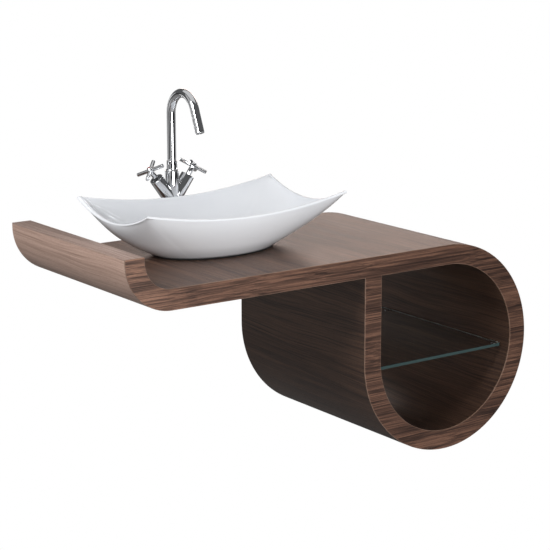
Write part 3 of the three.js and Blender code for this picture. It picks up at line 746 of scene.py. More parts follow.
# Glass ground with a fine wheel along its edges.
ground_glass, group_in, group_out = new_group(
    "ground_glass",
    [
        ("Vector", "NodeSocketVector", None),
        ("Deep", "NodeSocketColor", (0.03, 0.055, 0.055, 1)),
        ("Pale", "NodeSocketColor", (0.048, 0.082, 0.082, 1)),
        ("Polish", "NodeSocketFloat", 0.12),
        ("Grinding", "NodeSocketFloat", 0.15),
    ],
    [("Color", "NodeSocketColor"), ("Roughness", "NodeSocketFloat"), ("Height", "NodeSocketFloat")],
)
nodes, links = ground_glass.nodes, ground_glass.links
marks = noise_node(nodes, links, scaled(nodes, links, group_in.outputs["Vector"], (60, 60, 900)), 3)
mark_mask = map_range(nodes, links, marks, 0.3, 0.7)
ground = mix_colour(nodes, links, mark_mask, group_in.outputs["Deep"], group_in.outputs["Pale"])
ground_rough = math_node(
    nodes, links, "MULTIPLY_ADD", marks, group_in.outputs["Grinding"], group_in.outputs["Polish"],
)
links.new(ground, group_out.inputs["Color"])
links.new(ground_rough, group_out.inputs["Roughness"])
links.new(marks, group_out.inputs["Height"])


def ground_edge(name, values):
    """Opaque, because the eye sees no further than the grinding."""
    material, nodes, links = node_material(name)
    coordinates = nodes.new("ShaderNodeTexCoord")
    marked = place_group(nodes, ground_glass, values)
    links.new(coordinates.outputs["Object"], marked.inputs["Vector"])
    finish_surface(
        nodes, links, marked.outputs["Color"], marked.outputs["Roughness"], marked.outputs["Height"],
        0.00002, {"IOR": 1.52},
    )
    return material


glass_edge = ground_edge(
    "ground_glass_edge",
    {"Deep": (0.030, 0.055, 0.055), "Pale": (0.048, 0.082, 0.082), "Polish": 0.12, "Grinding": 0.15},
)
# The pane's ends are pale: a painted light line, for the lit edge seen through the glass.
glass_end_painted_light = ground_edge(
    "ground_glass_end_painted_light",
    {"Deep": (0.50, 0.56, 0.54), "Pale": (0.62, 0.68, 0.66), "Polish": 0.35, "Grinding": 0.2},
)

shelf = eased_block("glass_shelf_pane", *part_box("glass_shelf"), 0.0008, glass, 2, corner=0.004)
shelf.data.materials.append(glass_edge)
shelf.data.materials.append(glass_end_painted_light)
# Upright faces turned along X get the pale ends with their painted light, the others the dark green edge.
for polygon in shelf.data.polygons:
    if abs(polygon.normal.z) < 0.5:
        polygon.material_index = 2 if abs(polygon.normal.x) > 0.7 else 1
    polygon.use_smooth = False
settle(shelf, "root", ("glass_shelf",))

# ---- Shelf pins ----------------------------------------------------------------------------
# Four short steel rods pushed into the divider and the loop's wall, each with a black
# rubber sleeve on its free end for the glass to lie on.

# A finish of one piece, handled or worn a little in clouds, over a fine grit.
handled_surface, group_in, group_out = new_group(
    "handled_surface",
    [
        ("Vector", "NodeSocketVector", None),
        ("Bright", "NodeSocketColor", (0.8, 0.8, 0.8, 1)),
        ("Dull", "NodeSocketColor", (0.7, 0.7, 0.7, 1)),
        ("Polish", "NodeSocketFloat", 0.05),
        ("Smudge", "NodeSocketFloat", 0.05),
        ("Grit", "NodeSocketFloat", 300.0),
    ],
    [("Color", "NodeSocketColor"), ("Roughness", "NodeSocketFloat"), ("Height", "NodeSocketFloat")],
)
nodes, links = handled_surface.nodes, handled_surface.links
cloud = noise_node(nodes, links, scaled(nodes, links, group_in.outputs["Vector"], (28, 28, 28)), 4, 0.6)
grit_vector = nodes.new("ShaderNodeVectorMath")
grit_vector.operation = "SCALE"
links.new(group_in.outputs["Vector"], grit_vector.inputs[0])
links.new(group_in.outputs["Grit"], grit_vector.inputs["Scale"])
grit = noise_node(nodes, links, grit_vector.outputs[0], 3, 0.6)
cloud_mask = map_range(nodes, links, cloud, 0.4, 0.75)
clouded = mix_colour(nodes, links, cloud_mask, group_in.outputs["Bright"], group_in.outputs["Dull"])
smudged = math_node(nodes, links, "MULTIPLY", cloud_mask, group_in.outputs["Smudge"])
smudged = math_node(nodes, links, "ADD", group_in.outputs["Polish"], smudged)
links.new(clouded, group_out.inputs["Color"])
links.new(smudged, group_out.inputs["Roughness"])
links.new(grit, group_out.inputs["Height"])


def handled(name, bright, dull, polish, smudge, grit, relief_size, constants):
    """A finish whose colour and polish drift in clouds between two values."""
    material, nodes, links = node_material(name)
    coordinates = nodes.new("ShaderNodeTexCoord")
    finish = place_group(nodes, handled_surface, {
        "Bright": bright, "Dull": dull, "Polish": polish, "Smudge": smudge, "Grit": grit,
    })
    links.new(coordinates.outputs["Object"], finish.inputs["Vector"])
    finish_surface(
        nodes, links, finish.outputs["Color"], finish.outputs["Roughness"], finish.outputs["Height"],
        relief_size, constants,
    )
    return material


steel = handled(
    "satin_steel", (0.56, 0.56, 0.57), (0.47, 0.47, 0.48), 0.3, 0.1, 900, 0.00002, {"Metallic": 1},
)
rubber = handled(
    "black_rubber", (0.014, 0.014, 0.014), (0.024, 0.023, 0.022), 0.62, 0.2, 800, 0.00006, {},
)


def eased(profile, radius):
    """Rounds each corner of an open or closed profile off in three short steps."""
    closed = profile[0] == profile[-1]
    points = [Vector(p) for p in (profile[:-1] if closed else profile)]
    count = len(points)
    result = []
    for i, point in enumerate(points):
        at_end = not closed and i in (0, count - 1)
        before, after = points[i - 1], points[(i + 1) % count]
        if at_end or point.x < 1e-9:
            result.append(tuple(point))
            continue
        to_before, to_after = before - point, after - point
        straight = to_before.normalized().dot(to_after.normalized()) < -0.97
        if straight:
            result.append(tuple(point))
            continue
        cut = min(radius, to_before.length * 0.45, to_after.length * 0.45)
        start = point + to_before.normalized() * cut
        end = point + to_after.normalized() * cut
        for step in (0, 1 / 3, 2 / 3, 1):
            first = start.lerp(point, step)
            second = point.lerp(end, step)
            result.append(tuple(first.lerp(second, step)))
    if closed:
        result.append(result[0])
    return result


SLEEVE_START = 0.0105
SLEEVE_WALL = 0.0003
SLEEVE_END = 0.0002

for end in ("front", "rear"):
    for side in ("left", "right"):
        node = f"shelf_pin_{end}_{side}"
        pin_lo, pin_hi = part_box(node)
        pin_radius = (pin_hi.z - pin_lo.z) / 2
        length = pin_hi.x - pin_lo.x
        outward = 1 if side == "left" else -1
        start_x = pin_lo.x if side == "left" else pin_hi.x
        place = Matrix.Translation((start_x, (pin_lo.y + pin_hi.y) / 2, (pin_lo.z + pin_hi.z) / 2))
        place = place @ Matrix.Rotation(outward * math.pi / 2, 4, "Y")
        outline = [(0, 0), (pin_radius, 0), (pin_radius, length), (0, length)]
        pin = turned(node + "_rod", eased(outline, 0.0004), steel, 32, place)
        settle(pin, "root", (node,))
        sleeve_outline = [
            (pin_radius, SLEEVE_START), (pin_radius + SLEEVE_WALL, SLEEVE_START),
            (pin_radius + SLEEVE_WALL, length + SLEEVE_END), (pin_radius, length + SLEEVE_END),
            (pin_radius, SLEEVE_START),
        ]
        sleeve = turned(node + "_sleeve", eased(sleeve_outline, 0.0001), rubber, 32, place)
        settle(sleeve, "root")

# ---- Wall brackets, hanger plate and screws ---------------------------------------------------
# Welded steel angles, powder coated black, carry the counter and are screwed up into it. A
# zinc-plated plate, screwed flat to the loop's rear edge, hooks over one screw in the wall.

powder = handled(
    "black_powder_coat", (0.022, 0.022, 0.024), (0.030, 0.030, 0.032), 0.48, 0.12, 1500, 0.00008, {},
)
zinc = handled(
    "zinc_plate", (0.66, 0.67, 0.68), (0.52, 0.53, 0.53), 0.25, 0.2, 500, 0.00002, {"Metallic": 1},
)

for node, finish, slot in (
    ("wall_bracket_left", powder, "bracket_steel"),
    ("wall_bracket_right", powder, "bracket_steel"),
    ("loop_hanger_plate", zinc, "bracket_steel"),
):
    plate = bpy.data.objects.new(node + "_plate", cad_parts[node].data.copy())
    bpy.context.collection.objects.link(plate)
    welded = bmesh.new()
    welded.from_mesh(plate.data)
    bmesh.ops.remove_doubles(welded, verts=welded.verts, dist=1e-6)
    bmesh.ops.dissolve_limit(welded, angle_limit=math.radians(1), verts=welded.verts, edges=welded.edges)
    welded.to_mesh(plate.data)
    welded.free()
    plate.data.materials.clear()
    plate.data.materials.append(finish)
    rounding = plate.modifiers.new("rounding", "BEVEL")
    rounding.width = 0.0006
    rounding.segments = 2
    rounding.limit_method = "ANGLE"
    rounding.angle_limit = math.radians(40)
    plate = keep_result(plate)
    smooth_by_angle(plate)
    settle(plate, "root", (node,))


def new_tree(name, kinds):
    """A geometry tree with an input of each given kind, a finish and one geometry output."""
    tree = bpy.data.node_groups.new(name, "GeometryNodeTree")
    for label, kind in {**kinds, "Finish": "Material"}.items():
        tree.interface.new_socket(label, in_out="INPUT", socket_type="NodeSocket" + kind)
    tree.interface.new_socket("Result", in_out="OUTPUT", socket_type="NodeSocketGeometry")
    return tree, tree.nodes, tree.links, tree.nodes.new("NodeGroupInput")


def end_tree(nodes, links, source, geometry):
    """Realizes what a tree has made and gives it the tree's finish."""
    realize = nodes.new("GeometryNodeRealizeInstances")
    finish = nodes.new("GeometryNodeSetMaterial")
    sink = nodes.new("NodeGroupOutput")
    links.new(geometry, realize.inputs["Geometry"])
    links.new(realize.outputs["Geometry"], finish.inputs["Geometry"])
    links.new(source.outputs["Finish"], finish.inputs["Material"])
    links.new(finish.outputs["Geometry"], sink.inputs["Result"])


def spiral_thread_tree():
    """Adds a raised spiral ridge to a shank standing on Z, and gives it a finish."""
    tree, nodes, links, source = new_tree("spiral_thread", {
        "Shank": "Geometry", "Radius": "Float", "Tip Radius": "Float", "Length": "Float",
        "Pitch": "Float", "Ridge": "Float", "Foot": "Vector",
    })
    turns = nodes.new("ShaderNodeMath")
    turns.operation = "DIVIDE"
    links.new(source.outputs["Length"], turns.inputs[0])
    links.new(source.outputs["Pitch"], turns.inputs[1])
    spiral = nodes.new("GeometryNodeCurveSpiral")
    spiral.inputs["Resolution"].default_value = 20
    links.new(turns.outputs[0], spiral.inputs["Rotations"])
    links.new(source.outputs["Radius"], spiral.inputs["Start Radius"])
    links.new(source.outputs["Tip Radius"], spiral.inputs["End Radius"])
    links.new(source.outputs["Length"], spiral.inputs["Height"])
    ridge = nodes.new("GeometryNodeCurvePrimitiveCircle")
    ridge.inputs["Resolution"].default_value = 4
    links.new(source.outputs["Ridge"], ridge.inputs["Radius"])
    sweep = nodes.new("GeometryNodeCurveToMesh")
    sweep.inputs["Fill Caps"].default_value = True
    links.new(spiral.outputs["Curve"], sweep.inputs["Curve"])
    links.new(ridge.outputs["Curve"], sweep.inputs["Profile Curve"])
    lift = nodes.new("GeometryNodeTransform")
    links.new(sweep.outputs["Mesh"], lift.inputs["Geometry"])
    links.new(source.outputs["Foot"], lift.inputs["Translation"])
    join = nodes.new("GeometryNodeJoinGeometry")
    links.new(lift.outputs["Geometry"], join.inputs["Geometry"])
    links.new(source.outputs["Shank"], join.inputs["Geometry"])
    end_tree(nodes, links, source, join.outputs["Geometry"])
    return tree


def run_tree(piece, tree, **values):
    """Runs a geometry tree on a piece, with its named inputs, and keeps what it makes."""
    step = piece.modifiers.new(tree.name, "NODES")
    step.node_group = tree
    sockets = {item.name: item.identifier for item in tree.interface.items_tree if item.in_out == "INPUT"}
    for label, value in values.items():
        step[sockets[label.replace("_", " ")]] = value
    return keep_result(piece)


spiral_thread = spiral_thread_tree()
SCREW_SHANK = 0.0018
SCREW_PITCH = 0.0018
SCREW_CROSS = 0.0011
RECESS_DEPTH = 0.0012


def cross_recess(reach):
    """Two crossed wings that cut the driver's recess into a head whose top is at Z 0."""
    half, low, high = SCREW_CROSS / 2, -RECESS_DEPTH, 0.001
    wing = eased_block("wing", (-reach, -half, low), (reach, half, high), 0.0001, zinc, 1)
    other = eased_block("wing", (-half, -reach, low), (half, reach, high), 0.0001, zinc, 1)
    return combine(wing, other, "UNION")


screws = {f"bracket_screw_{side}_{end}": "pan" for side in ("left", "right") for end in ("rear", "front")}
screws |= {f"hanger_screw_{side}": "countersunk" for side in ("left", "right")}
for node, kind in screws.items():
    screw_lo, screw_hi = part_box(node)
    size = screw_hi - screw_lo
    middle = (screw_lo + screw_hi) / 2
    head = max(size.x, min(size.y, size.z)) / 2
    length = max(size.y, size.z)
    if kind == "pan":
        outline = [
            (0, 0), (head * 0.55, 0.0001), (head * 0.86, 0.0009), (head, 0.0019), (head, 0.0028),
            (SCREW_SHANK, 0.0028), (SCREW_SHANK, length - 0.005), (0, length),
        ]
        place = Matrix.Translation((middle.x, middle.y, screw_lo.z))
    else:
        outline = [(0, 0), (head, 0), (SCREW_SHANK, 0.0016), (SCREW_SHANK, length - 0.004), (0, length)]
        place = Matrix.Translation((middle.x, screw_hi.y, middle.z)) @ Matrix.Rotation(math.pi / 2, 4, "X")
    screw = turned(node + "_screw", outline, zinc, 32)
    recess = cross_recess(head * 0.6)
    recess.data.transform(Matrix.Scale(-1, 4, (0, 0, 1)))
    recess.data.flip_normals()
    screw = combine(screw, recess, "DIFFERENCE")
    screw = run_tree(
        screw, spiral_thread, Radius=SCREW_SHANK, Tip_Radius=SCREW_SHANK, Length=length - 0.0105,
        Pitch=SCREW_PITCH, Ridge=0.00025, Foot=(0, 0, 0.0045), Finish=zinc,
    )
    screw.data.transform(place)
    smooth_by_angle(screw)
    settle(screw, "root", (node,))

# ---- Vessel basin --------------------------------------------------------------------------------
# Slip-cast vitreous china, white glaze, with four corners drawn up to points and the rim
# sagging between them. It stands on an oval foot and is clamped down by its waste.

basin_lo, basin_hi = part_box("basin")
seal_lo, seal_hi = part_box("basin_seal")
BASIN = ((seal_lo.x + seal_hi.x) / 2, (seal_lo.y + seal_hi.y) / 2, basin_lo.z)
CORNER_HEIGHT = basin_hi.z - basin_lo.z
HALF_WIDTH = (basin_hi.x - basin_lo.x) / 2
HALF_DEPTH = 0.163
FOOT_HALF_WIDTH = 0.164
FOOT_HALF_DEPTH = 0.100
LONG_SAG = 0.031
SHORT_SAG = 0.039
RIM_BOW = 0.0035
FLARE = 1.8
SQUARING = 1.05
CORNER_SOFTNESS = 0.13
SOFTNESS_FALL = 0.6
SHARPEST_CORNER = 0.0025
PEAK_EASE = 3
CHINA = 0.009
BOWL_FLOOR = 0.017
DRAIN = 0.023

glaze, nodes, links = node_material("white_glaze")
coordinates = nodes.new("ShaderNodeTexCoord")
flow = noise_node(nodes, links, scaled(nodes, links, coordinates.outputs["Object"], (11, 11, 11)), 3)
peel = noise_node(nodes, links, scaled(nodes, links, coordinates.outputs["Object"], (140, 140, 140)), 2)
glaze_colour = ramp_node(nodes, links, flow, [(0.3, (0.825, 0.845, 0.880)), (0.7, (0.845, 0.862, 0.892))])
glaze_rough = math_node(nodes, links, "MULTIPLY_ADD", flow, 0.06, 0.045)
finish_surface(nodes, links, glaze_colour, glaze_rough, peel, 0.00006, {"IOR": 1.52})


def rim_height(dx, dy, ease):
    """Height of the rim over the foot, its four peaks rounded off by ease."""
    long_side = np.abs(dy) >= np.abs(dx)
    along = np.where(long_side, dx / np.maximum(np.abs(dy), 1e-9), dy / np.maximum(np.abs(dx), 1e-9))
    dip = np.sqrt((1 - along ** 2) ** 2 + ease ** 2)
    return CORNER_HEIGHT - np.where(long_side, LONG_SAG, SHORT_SAG) * dip


def wall_ring(level, inset, lift, dx, dy, drop=0.0):
    """Points round the wall: level 0 is the foot, 1 the rim.

    inset draws the ring in, lift raises its foot end and drop lowers it as a whole.
    """
    longest = np.maximum(np.abs(dx), np.abs(dy))
    shorter = np.minimum(np.abs(dx), np.abs(dy)) / longest
    softness = CORNER_SOFTNESS * (1 - level) ** SOFTNESS_FALL
    power = 1 / (SHARPEST_CORNER + softness)
    stretch = 1 / (longest * (1 + shorter ** power) ** (1 / power))
    square = level ** SQUARING
    to_rim = 1 - (1 - level) ** FLARE
    half_x = FOOT_HALF_WIDTH + (HALF_WIDTH - FOOT_HALF_WIDTH) * to_rim - inset
    half_y = FOOT_HALF_DEPTH + (HALF_DEPTH - FOOT_HALF_DEPTH) * to_rim - inset
    scale = 1 + (stretch - 1) * square
    long_side = np.abs(dy) >= np.abs(dx)
    slope = np.where(long_side, dx / np.where(long_side, dy, 1), 0)
    bow = np.where(long_side, RIM_BOW * square * (1 - slope ** 2) ** 2, 0)
    height = lift + (rim_height(dx, dy, PEAK_EASE * softness) - lift) * level - drop
    return np.stack([half_x * dx * scale, half_y * dy * scale + np.sign(dy) * bow, height], 1)


def closed_rings(rings):
    """Vertices and faces of a wall that passes through the rings and back to the first."""
    count = len(rings[0])
    faces = []
    for i in range(len(rings)):
        j = (i + 1) % len(rings)
        for k in range(count):
            n = (k + 1) % count
            faces.append((i * count + k, i * count + n, j * count + n, j * count + k))
    return np.concatenate(rings) + np.array(BASIN), faces


def basin_mesh(segments=256):
    """From the drain's foot out under the basin, up the wall, over the rim and back down."""
    angles = np.arange(segments) * 2 * math.pi / segments
    dx, dy = np.cos(angles), np.sin(angles)

    def round_ring(radius, height):
        return np.stack([radius * dx, radius * dy, np.full(segments, height)], 1)

    levels = np.linspace(0, 1, 34)[1:-1]
    rings = [round_ring(DRAIN, 0.003), round_ring(0.042, 0.003), round_ring(0.042, 0)]
    rings += [wall_ring(0, 0.013, 0, dx, dy), wall_ring(0, 0.0085, 0, dx, dy)]
    rings += [wall_ring(0, 0.008, 0.0034, dx, dy), wall_ring(0, 0.0008, 0.0038, dx, dy)]
    rings += [wall_ring(level, 0.0, 0.0044, dx, dy) for level in levels]
    for turn in np.linspace(0, math.pi, 9):
        inset = CHINA / 2 * (1 - math.cos(turn))
        rings.append(wall_ring(1, inset, 0, dx, dy, 0.0042 * (1 - math.sin(turn))))
    rings += [
        wall_ring(level, CHINA + 0.005 * (1 - level), BOWL_FLOOR + 0.002, dx, dy)
        for level in levels[::-1]
    ]
    rings += [round_ring(0.07, BOWL_FLOOR), round_ring(0.0365, BOWL_FLOOR - 0.0002)]
    rings += [round_ring(0.0345, BOWL_FLOOR - 0.001), round_ring(0.0335, BOWL_FLOOR - 0.005)]
    rings += [round_ring(DRAIN, BOWL_FLOOR - 0.005)]
    return closed_rings(rings)


basin = link_mesh("china_basin", *basin_mesh(), (glaze,), smooth=False)
smooth_by_angle(basin, 50)
settle(basin, "root", ("basin",))
finish_nodes(rubber, "basin_seal")


def foot_shadow_ring(segments=192):
    """A dark rubber ring just under the foot's edge: a painted contact shadow where the basin stands on the
    counter.
    """
    angles = np.arange(segments) * 2 * math.pi / segments
    dx, dy = np.cos(angles), np.sin(angles)
    section = [
        (0.0078, 0.0002), (0.0012, 0.0002), (0.0004, 0.0016), (0.0012, 0.0031), (0.0078, 0.0031),
    ]
    return closed_rings([wall_ring(0, inset, height, dx, dy) for inset, height in section])


# Painted contact shadow under the basin's foot.
shadow_ring = link_mesh("basin_foot_shadow_ring", *foot_shadow_ring(), (rubber,))
settle(shadow_ring, "root")

# ---- Waste with its press plug -------------------------------------------------------------------
# A chromed brass waste clamps the basin to the counter: its flange sits in the bowl's
# recess, and a rubber washer and a hexagonal nut are wound up its thread from below.

SEAT = BOWL_FLOOR - 0.005
FLANGE_TOP = SEAT + 0.0054
WASTE_BORE = 0.017
WASTE_TUBE = 0.020
WASTE_FLANGE = 0.032
WASTE_THREAD = WASTE_TUBE - 0.0007
WASTE_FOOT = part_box("waste_body")[0].z - BASIN[2]
BAR_LOW, BAR_HIGH = -0.026, -0.018
BAR_HALF = 0.002
BAR_REACH = WASTE_BORE + 0.001
HUB_RADIUS = 0.0065
SPINDLE_PATH = 0.00325
PLUG = 0.031
at_basin = Matrix.Translation(BASIN)

chrome = handled(
    "chrome_plate", (0.86, 0.87, 0.885), (0.82, 0.83, 0.845), 0.035, 0.03, 60, 0.000004,
    {"Metallic": 1},
)
brass = handled(
    "turned_brass", (0.72, 0.53, 0.26), (0.55, 0.39, 0.18), 0.28, 0.15, 700, 0.00003,
    {"Metallic": 1},
)


def rod(name, radius, foot, top, finish, place, ease=0.0, segments=96):
    """A round bar along Z between two heights, with its edges eased if asked for."""
    outline = [(0, foot), (radius, foot), (radius, top), (0, top)]
    return turned(name, eased(outline, ease) if ease else outline, finish, segments, place)


shell = turned("waste", eased([
    (WASTE_BORE, WASTE_FOOT), (WASTE_TUBE - 0.0006, WASTE_FOOT), (WASTE_TUBE - 0.0006, SEAT + 0.0021),
    (WASTE_FLANGE - 0.001, SEAT + 0.0021), (WASTE_FLANGE, SEAT + 0.0031), (WASTE_FLANGE - 0.0008, FLANGE_TOP),
    (0.023, FLANGE_TOP), (WASTE_BORE, FLANGE_TOP - 0.006), (WASTE_BORE, WASTE_FOOT),
], 0.0005), chrome)
bar = eased_block(
    "bar", (-BAR_REACH, -BAR_HALF, BAR_LOW), (BAR_REACH, BAR_HALF, BAR_HIGH), 0.0005, chrome,
)
shell = combine(shell, bar, "UNION")
hub = rod("hub", HUB_RADIUS, BAR_LOW, BAR_HIGH, chrome, None, 0.0005, 32)
shell = combine(shell, hub, "UNION")
spindle_path = rod("path", SPINDLE_PATH, BAR_LOW - 0.001, BAR_HIGH + 0.001, chrome, None, 0.0, 32)
shell = combine(shell, spindle_path, "DIFFERENCE")
shell = run_tree(
    shell, spiral_thread, Radius=WASTE_THREAD, Tip_Radius=WASTE_THREAD, Length=0.062,
    Pitch=0.002, Ridge=0.0006, Foot=(0, 0, WASTE_FOOT + 0.002), Finish=chrome,
)
shell.data.transform(at_basin)
smooth_by_angle(shell)
settle(shell, "root", ("waste_body",))

plug = turned("waste_plug_dome", eased([
    (0, FLANGE_TOP + 0.0019), (PLUG - 0.001, FLANGE_TOP + 0.0019), (PLUG, FLANGE_TOP + 0.0029),
    (PLUG - 0.0004, FLANGE_TOP + 0.0039), (PLUG - 0.002, FLANGE_TOP + 0.0049), (0.024, FLANGE_TOP + 0.0058),
    (0.016, FLANGE_TOP + 0.0065), (0.008, FLANGE_TOP + 0.0069), (0, FLANGE_TOP + 0.007),
], 0.0003), chrome, 128, at_basin)
settle(plug, "plug", ("waste_plug_cap",))


def washer(node, bore, finish, body, ease):
    """A flat ring as large as its node in the frame."""
    lo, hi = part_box(node)
    centre = ((lo.x + hi.x) / 2, (lo.y + hi.y) / 2, 0)
    outer = (hi.x - lo.x) / 2
    outline = [(bore, lo.z), (outer, lo.z), (outer, hi.z), (bore, hi.z), (bore, lo.z)]
    ring = turned(node + "_ring", eased(outline, ease), finish, 96, Matrix.Translation(centre))
    settle(ring, body, (node,))


washer("waste_plug_seal", 0.0245, rubber, "plug", 0.0003)
washer("waste_under_washer", WASTE_TUBE + 0.0004, rubber, "root", 0.0006)


def hexagon_nut(node, bore, finish):
    """A hexagonal nut with turned chamfers, as large as its node in the frame."""
    lo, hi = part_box(node)
    centre = Matrix.Translation(((lo.x + hi.x) / 2, (lo.y + hi.y) / 2, 0))
    corner = (hi.x - lo.x) / 2
    flat = corner * math.cos(math.pi / 6)
    prism = turned(node + "_hexagon", [(0, lo.z), (corner, lo.z), (corner, hi.z), (0, hi.z)], finish, 6)
    chamfer = (corner - flat) * 0.55
    trimmer = turned("trimmer", [
        (0, lo.z), (flat - 0.0003, lo.z), (corner + 0.0002, lo.z + chamfer),
        (corner + 0.0002, hi.z - chamfer), (flat - 0.0003, hi.z), (0, hi.z),
    ], finish, 96)
    nut = combine(prism, trimmer, "INTERSECT")
    hole = turned("hole", [
        (0, lo.z - 0.001), (bore + 0.0016, lo.z - 0.0002), (bore, lo.z + 0.001),
        (bore, hi.z - 0.001), (bore + 0.0016, hi.z + 0.0002), (0, hi.z + 0.001),
    ], finish, 96)
    nut = combine(nut, hole, "DIFFERENCE")
    nut.data.transform(centre)
    settle(nut, "root", (node,))


hexagon_nut("waste_backnut", WASTE_TUBE + 0.0004, brass)
finish_nodes(rubber, "waste_top_seal")
finish_nodes(brass, "waste_plug_spindle")

# ---- Mixer tap: body, base ring and clamp ------------------------------------------------------------
# A chromed brass column with two barrels branching off at an angle, for the hot and cold
# valves. A threaded shank, washers and a nut hold it down through the counter.

TAP = ((shank_lo.x + shank_hi.x) / 2, (shank_lo.y + shank_hi.y) / 2, TOP)
BARREL = 0.0175
BODY_FOOT = 0.0018
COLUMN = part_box("spout_collar")[0].z - TOP - 0.0003
VEE = 0.091
VEE_TILT = math.radians(36)
BARREL_LENGTH = 0.080
CARTRIDGE_BORE = 0.012
CARTRIDGE_FOOT = 0.028
SHANK_THREAD = SHANK - 0.0007
SHANK_WASHER_BORE = 0.0144
PASSAGE = 0.0044
PASSAGE_OFFSET = 0.0064
SPOUT = 0.01125
at_tap = Matrix.Translation(TAP)


def on_barrel(side):
    """From Z onto a side barrel's axis: side -1 is hot, 1 is cold."""
    return at_tap @ Matrix.Translation((0, 0, VEE)) @ Matrix.Rotation(side * VEE_TILT, 4, "Y")


body = rod("tap_column", BARREL, BODY_FOOT, COLUMN, chrome, at_tap, 0.0009)
for side in (-1, 1):
    barrel = rod("barrel", BARREL, 0.004, BARREL_LENGTH, chrome, on_barrel(side), 0.0009)
    body = combine(body, barrel, "UNION")
bore = rod("shank_bore", SHANK + 0.0003, 0, 0.022, chrome, at_tap)
body = combine(body, bore, "DIFFERENCE")
bore = rod("spout_bore", SPOUT + 0.00045, 0.133, COLUMN + 0.001, chrome, at_tap)
body = combine(body, bore, "DIFFERENCE")
for side in (-1, 1):
    bore = rod("valve_bore", CARTRIDGE_BORE, CARTRIDGE_FOOT, 0.09, chrome, on_barrel(side))
    body = combine(body, bore, "DIFFERENCE")
smooth_by_angle(body, 24)
settle(body, "root", ("tap_body",))

base = turned("tap_base_flange", eased([
    (BARREL + 0.0004, 0.002), (0.024, 0.002), (0.024, 0.0054), (0.0224, 0.007),
    (BARREL + 0.0004, 0.007), (BARREL + 0.0004, 0.002),
], 0.0007), chrome, 128, at_tap)
settle(base, "root", ("tap_base_ring",))

shank_foot = shank_lo.z - TOP
shank = rod("tap_threaded_shank", SHANK - 0.0006, shank_foot, 0.0215, brass, None, 0.0006)
for side in (-1, 1):
    beside = Matrix.Translation((side * PASSAGE_OFFSET, 0, 0))
    passage = rod("passage", PASSAGE, shank_foot - 0.001, 0.023, brass, beside)
    shank = combine(shank, passage, "DIFFERENCE")
shank = run_tree(
    shank, spiral_thread, Radius=SHANK_THREAD, Tip_Radius=SHANK_THREAD, Length=0.078,
    Pitch=0.0015, Ridge=0.0005, Foot=(0, 0, shank_foot + 0.002), Finish=brass,
)
shank.data.transform(at_tap)
smooth_by_angle(shank)
settle(shank, "root", ("tap_shank",))
washer("tap_base_seal", 0.015, rubber, "root", 0.0005)
washer("tap_under_washer", SHANK_WASHER_BORE, rubber, "root", 0.0006)
washer("tap_clamp_washer", SHANK_WASHER_BORE, zinc, "root", 0.0003)
hexagon_nut("tap_backnut", SHANK + 0.0004, brass)

# ---- Mixer tap: swivelling spout -----------------------------------------------------------------------
# Chromed tube bent into a swan neck. It turns in the column on a nylon bush with an
# O-ring, a loose collar covers the joint, and an aerator is screwed into its end.

SPOUT_BORE = 0.0094
SPOUT_FOOT = 0.150
SPOUT_BEND = 0.056
SPOUT_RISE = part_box("spout_tube")[1].z - TOP - SPOUT - SPOUT_BEND
SPOUT_LEG = 0.058
SPOUT_LEG_TILT = math.radians(22.6)
OUTLET_ANGLE = math.pi - SPOUT_LEG_TILT

nylon = handled(
    "white_nylon", (0.78, 0.77, 0.73), (0.70, 0.69, 0.65), 0.42, 0.1, 500, 0.00003, {},
)

# The neck's centre line: straight up, round the bend and down the leg to the outlet.
swan_neck = [(0, 0, SPOUT_FOOT)]
for turn in np.linspace(0, OUTLET_ANGLE, 73):
    forward = SPOUT_BEND * (1 - math.cos(turn))
    swan_neck.append((0, -forward, SPOUT_RISE + SPOUT_BEND * math.sin(turn)))
leg_way = Vector((0, -math.sin(SPOUT_LEG_TILT), -math.cos(SPOUT_LEG_TILT)))
outlet = Vector(swan_neck[-1]) + SPOUT_LEG * leg_way
swan_neck += [tuple(outlet)]


def bent_tube_tree():
    """Sweeps a round tube with an open bore along a curve."""
    tree, nodes, links, source = new_tree("bent_tube", {
        "Path": "Geometry", "Radius": "Float", "Bore": "Float", "Sides": "Int",
    })
    swept = []
    for label in ("Radius", "Bore"):
        circle = nodes.new("GeometryNodeCurvePrimitiveCircle")
        links.new(source.outputs["Sides"], circle.inputs["Resolution"])
        links.new(source.outputs[label], circle.inputs["Radius"])
        sweep = nodes.new("GeometryNodeCurveToMesh")
        sweep.inputs["Fill Caps"].default_value = True
        links.new(source.outputs["Path"], sweep.inputs["Curve"])
        links.new(circle.outputs["Curve"], sweep.inputs["Profile Curve"])
        swept.append(sweep.outputs["Mesh"])
    hollow = nodes.new("GeometryNodeMeshBoolean")
    hollow.operation = "DIFFERENCE"
    hollow.solver = "EXACT"
    links.new(swept[0], hollow.inputs["Mesh 1"])
    links.new(swept[1], hollow.inputs["Mesh 2"])
    end_tree(nodes, links, source, hollow.outputs["Mesh"])
    return tree


neck_curve = bpy.data.curves.new("spout_neck", "CURVE")
neck_curve.dimensions = "3D"
neck_curve.twist_mode = "MINIMUM"
neck_line = neck_curve.splines.new("POLY")
neck_line.points.add(len(swan_neck) - 1)
for point, place in zip(neck_line.points, swan_neck):
    point.co = (*place, 1)
spout = bpy.data.objects.new("spout_neck", neck_curve)
bpy.context.collection.objects.link(spout)
spout = run_tree(spout, bent_tube_tree(), Radius=SPOUT, Bore=SPOUT_BORE, Sides=72, Finish=chrome)
spout.data.transform(at_tap)
smooth_by_angle(spout)
settle(spout, "spout", ("spout_tube",))

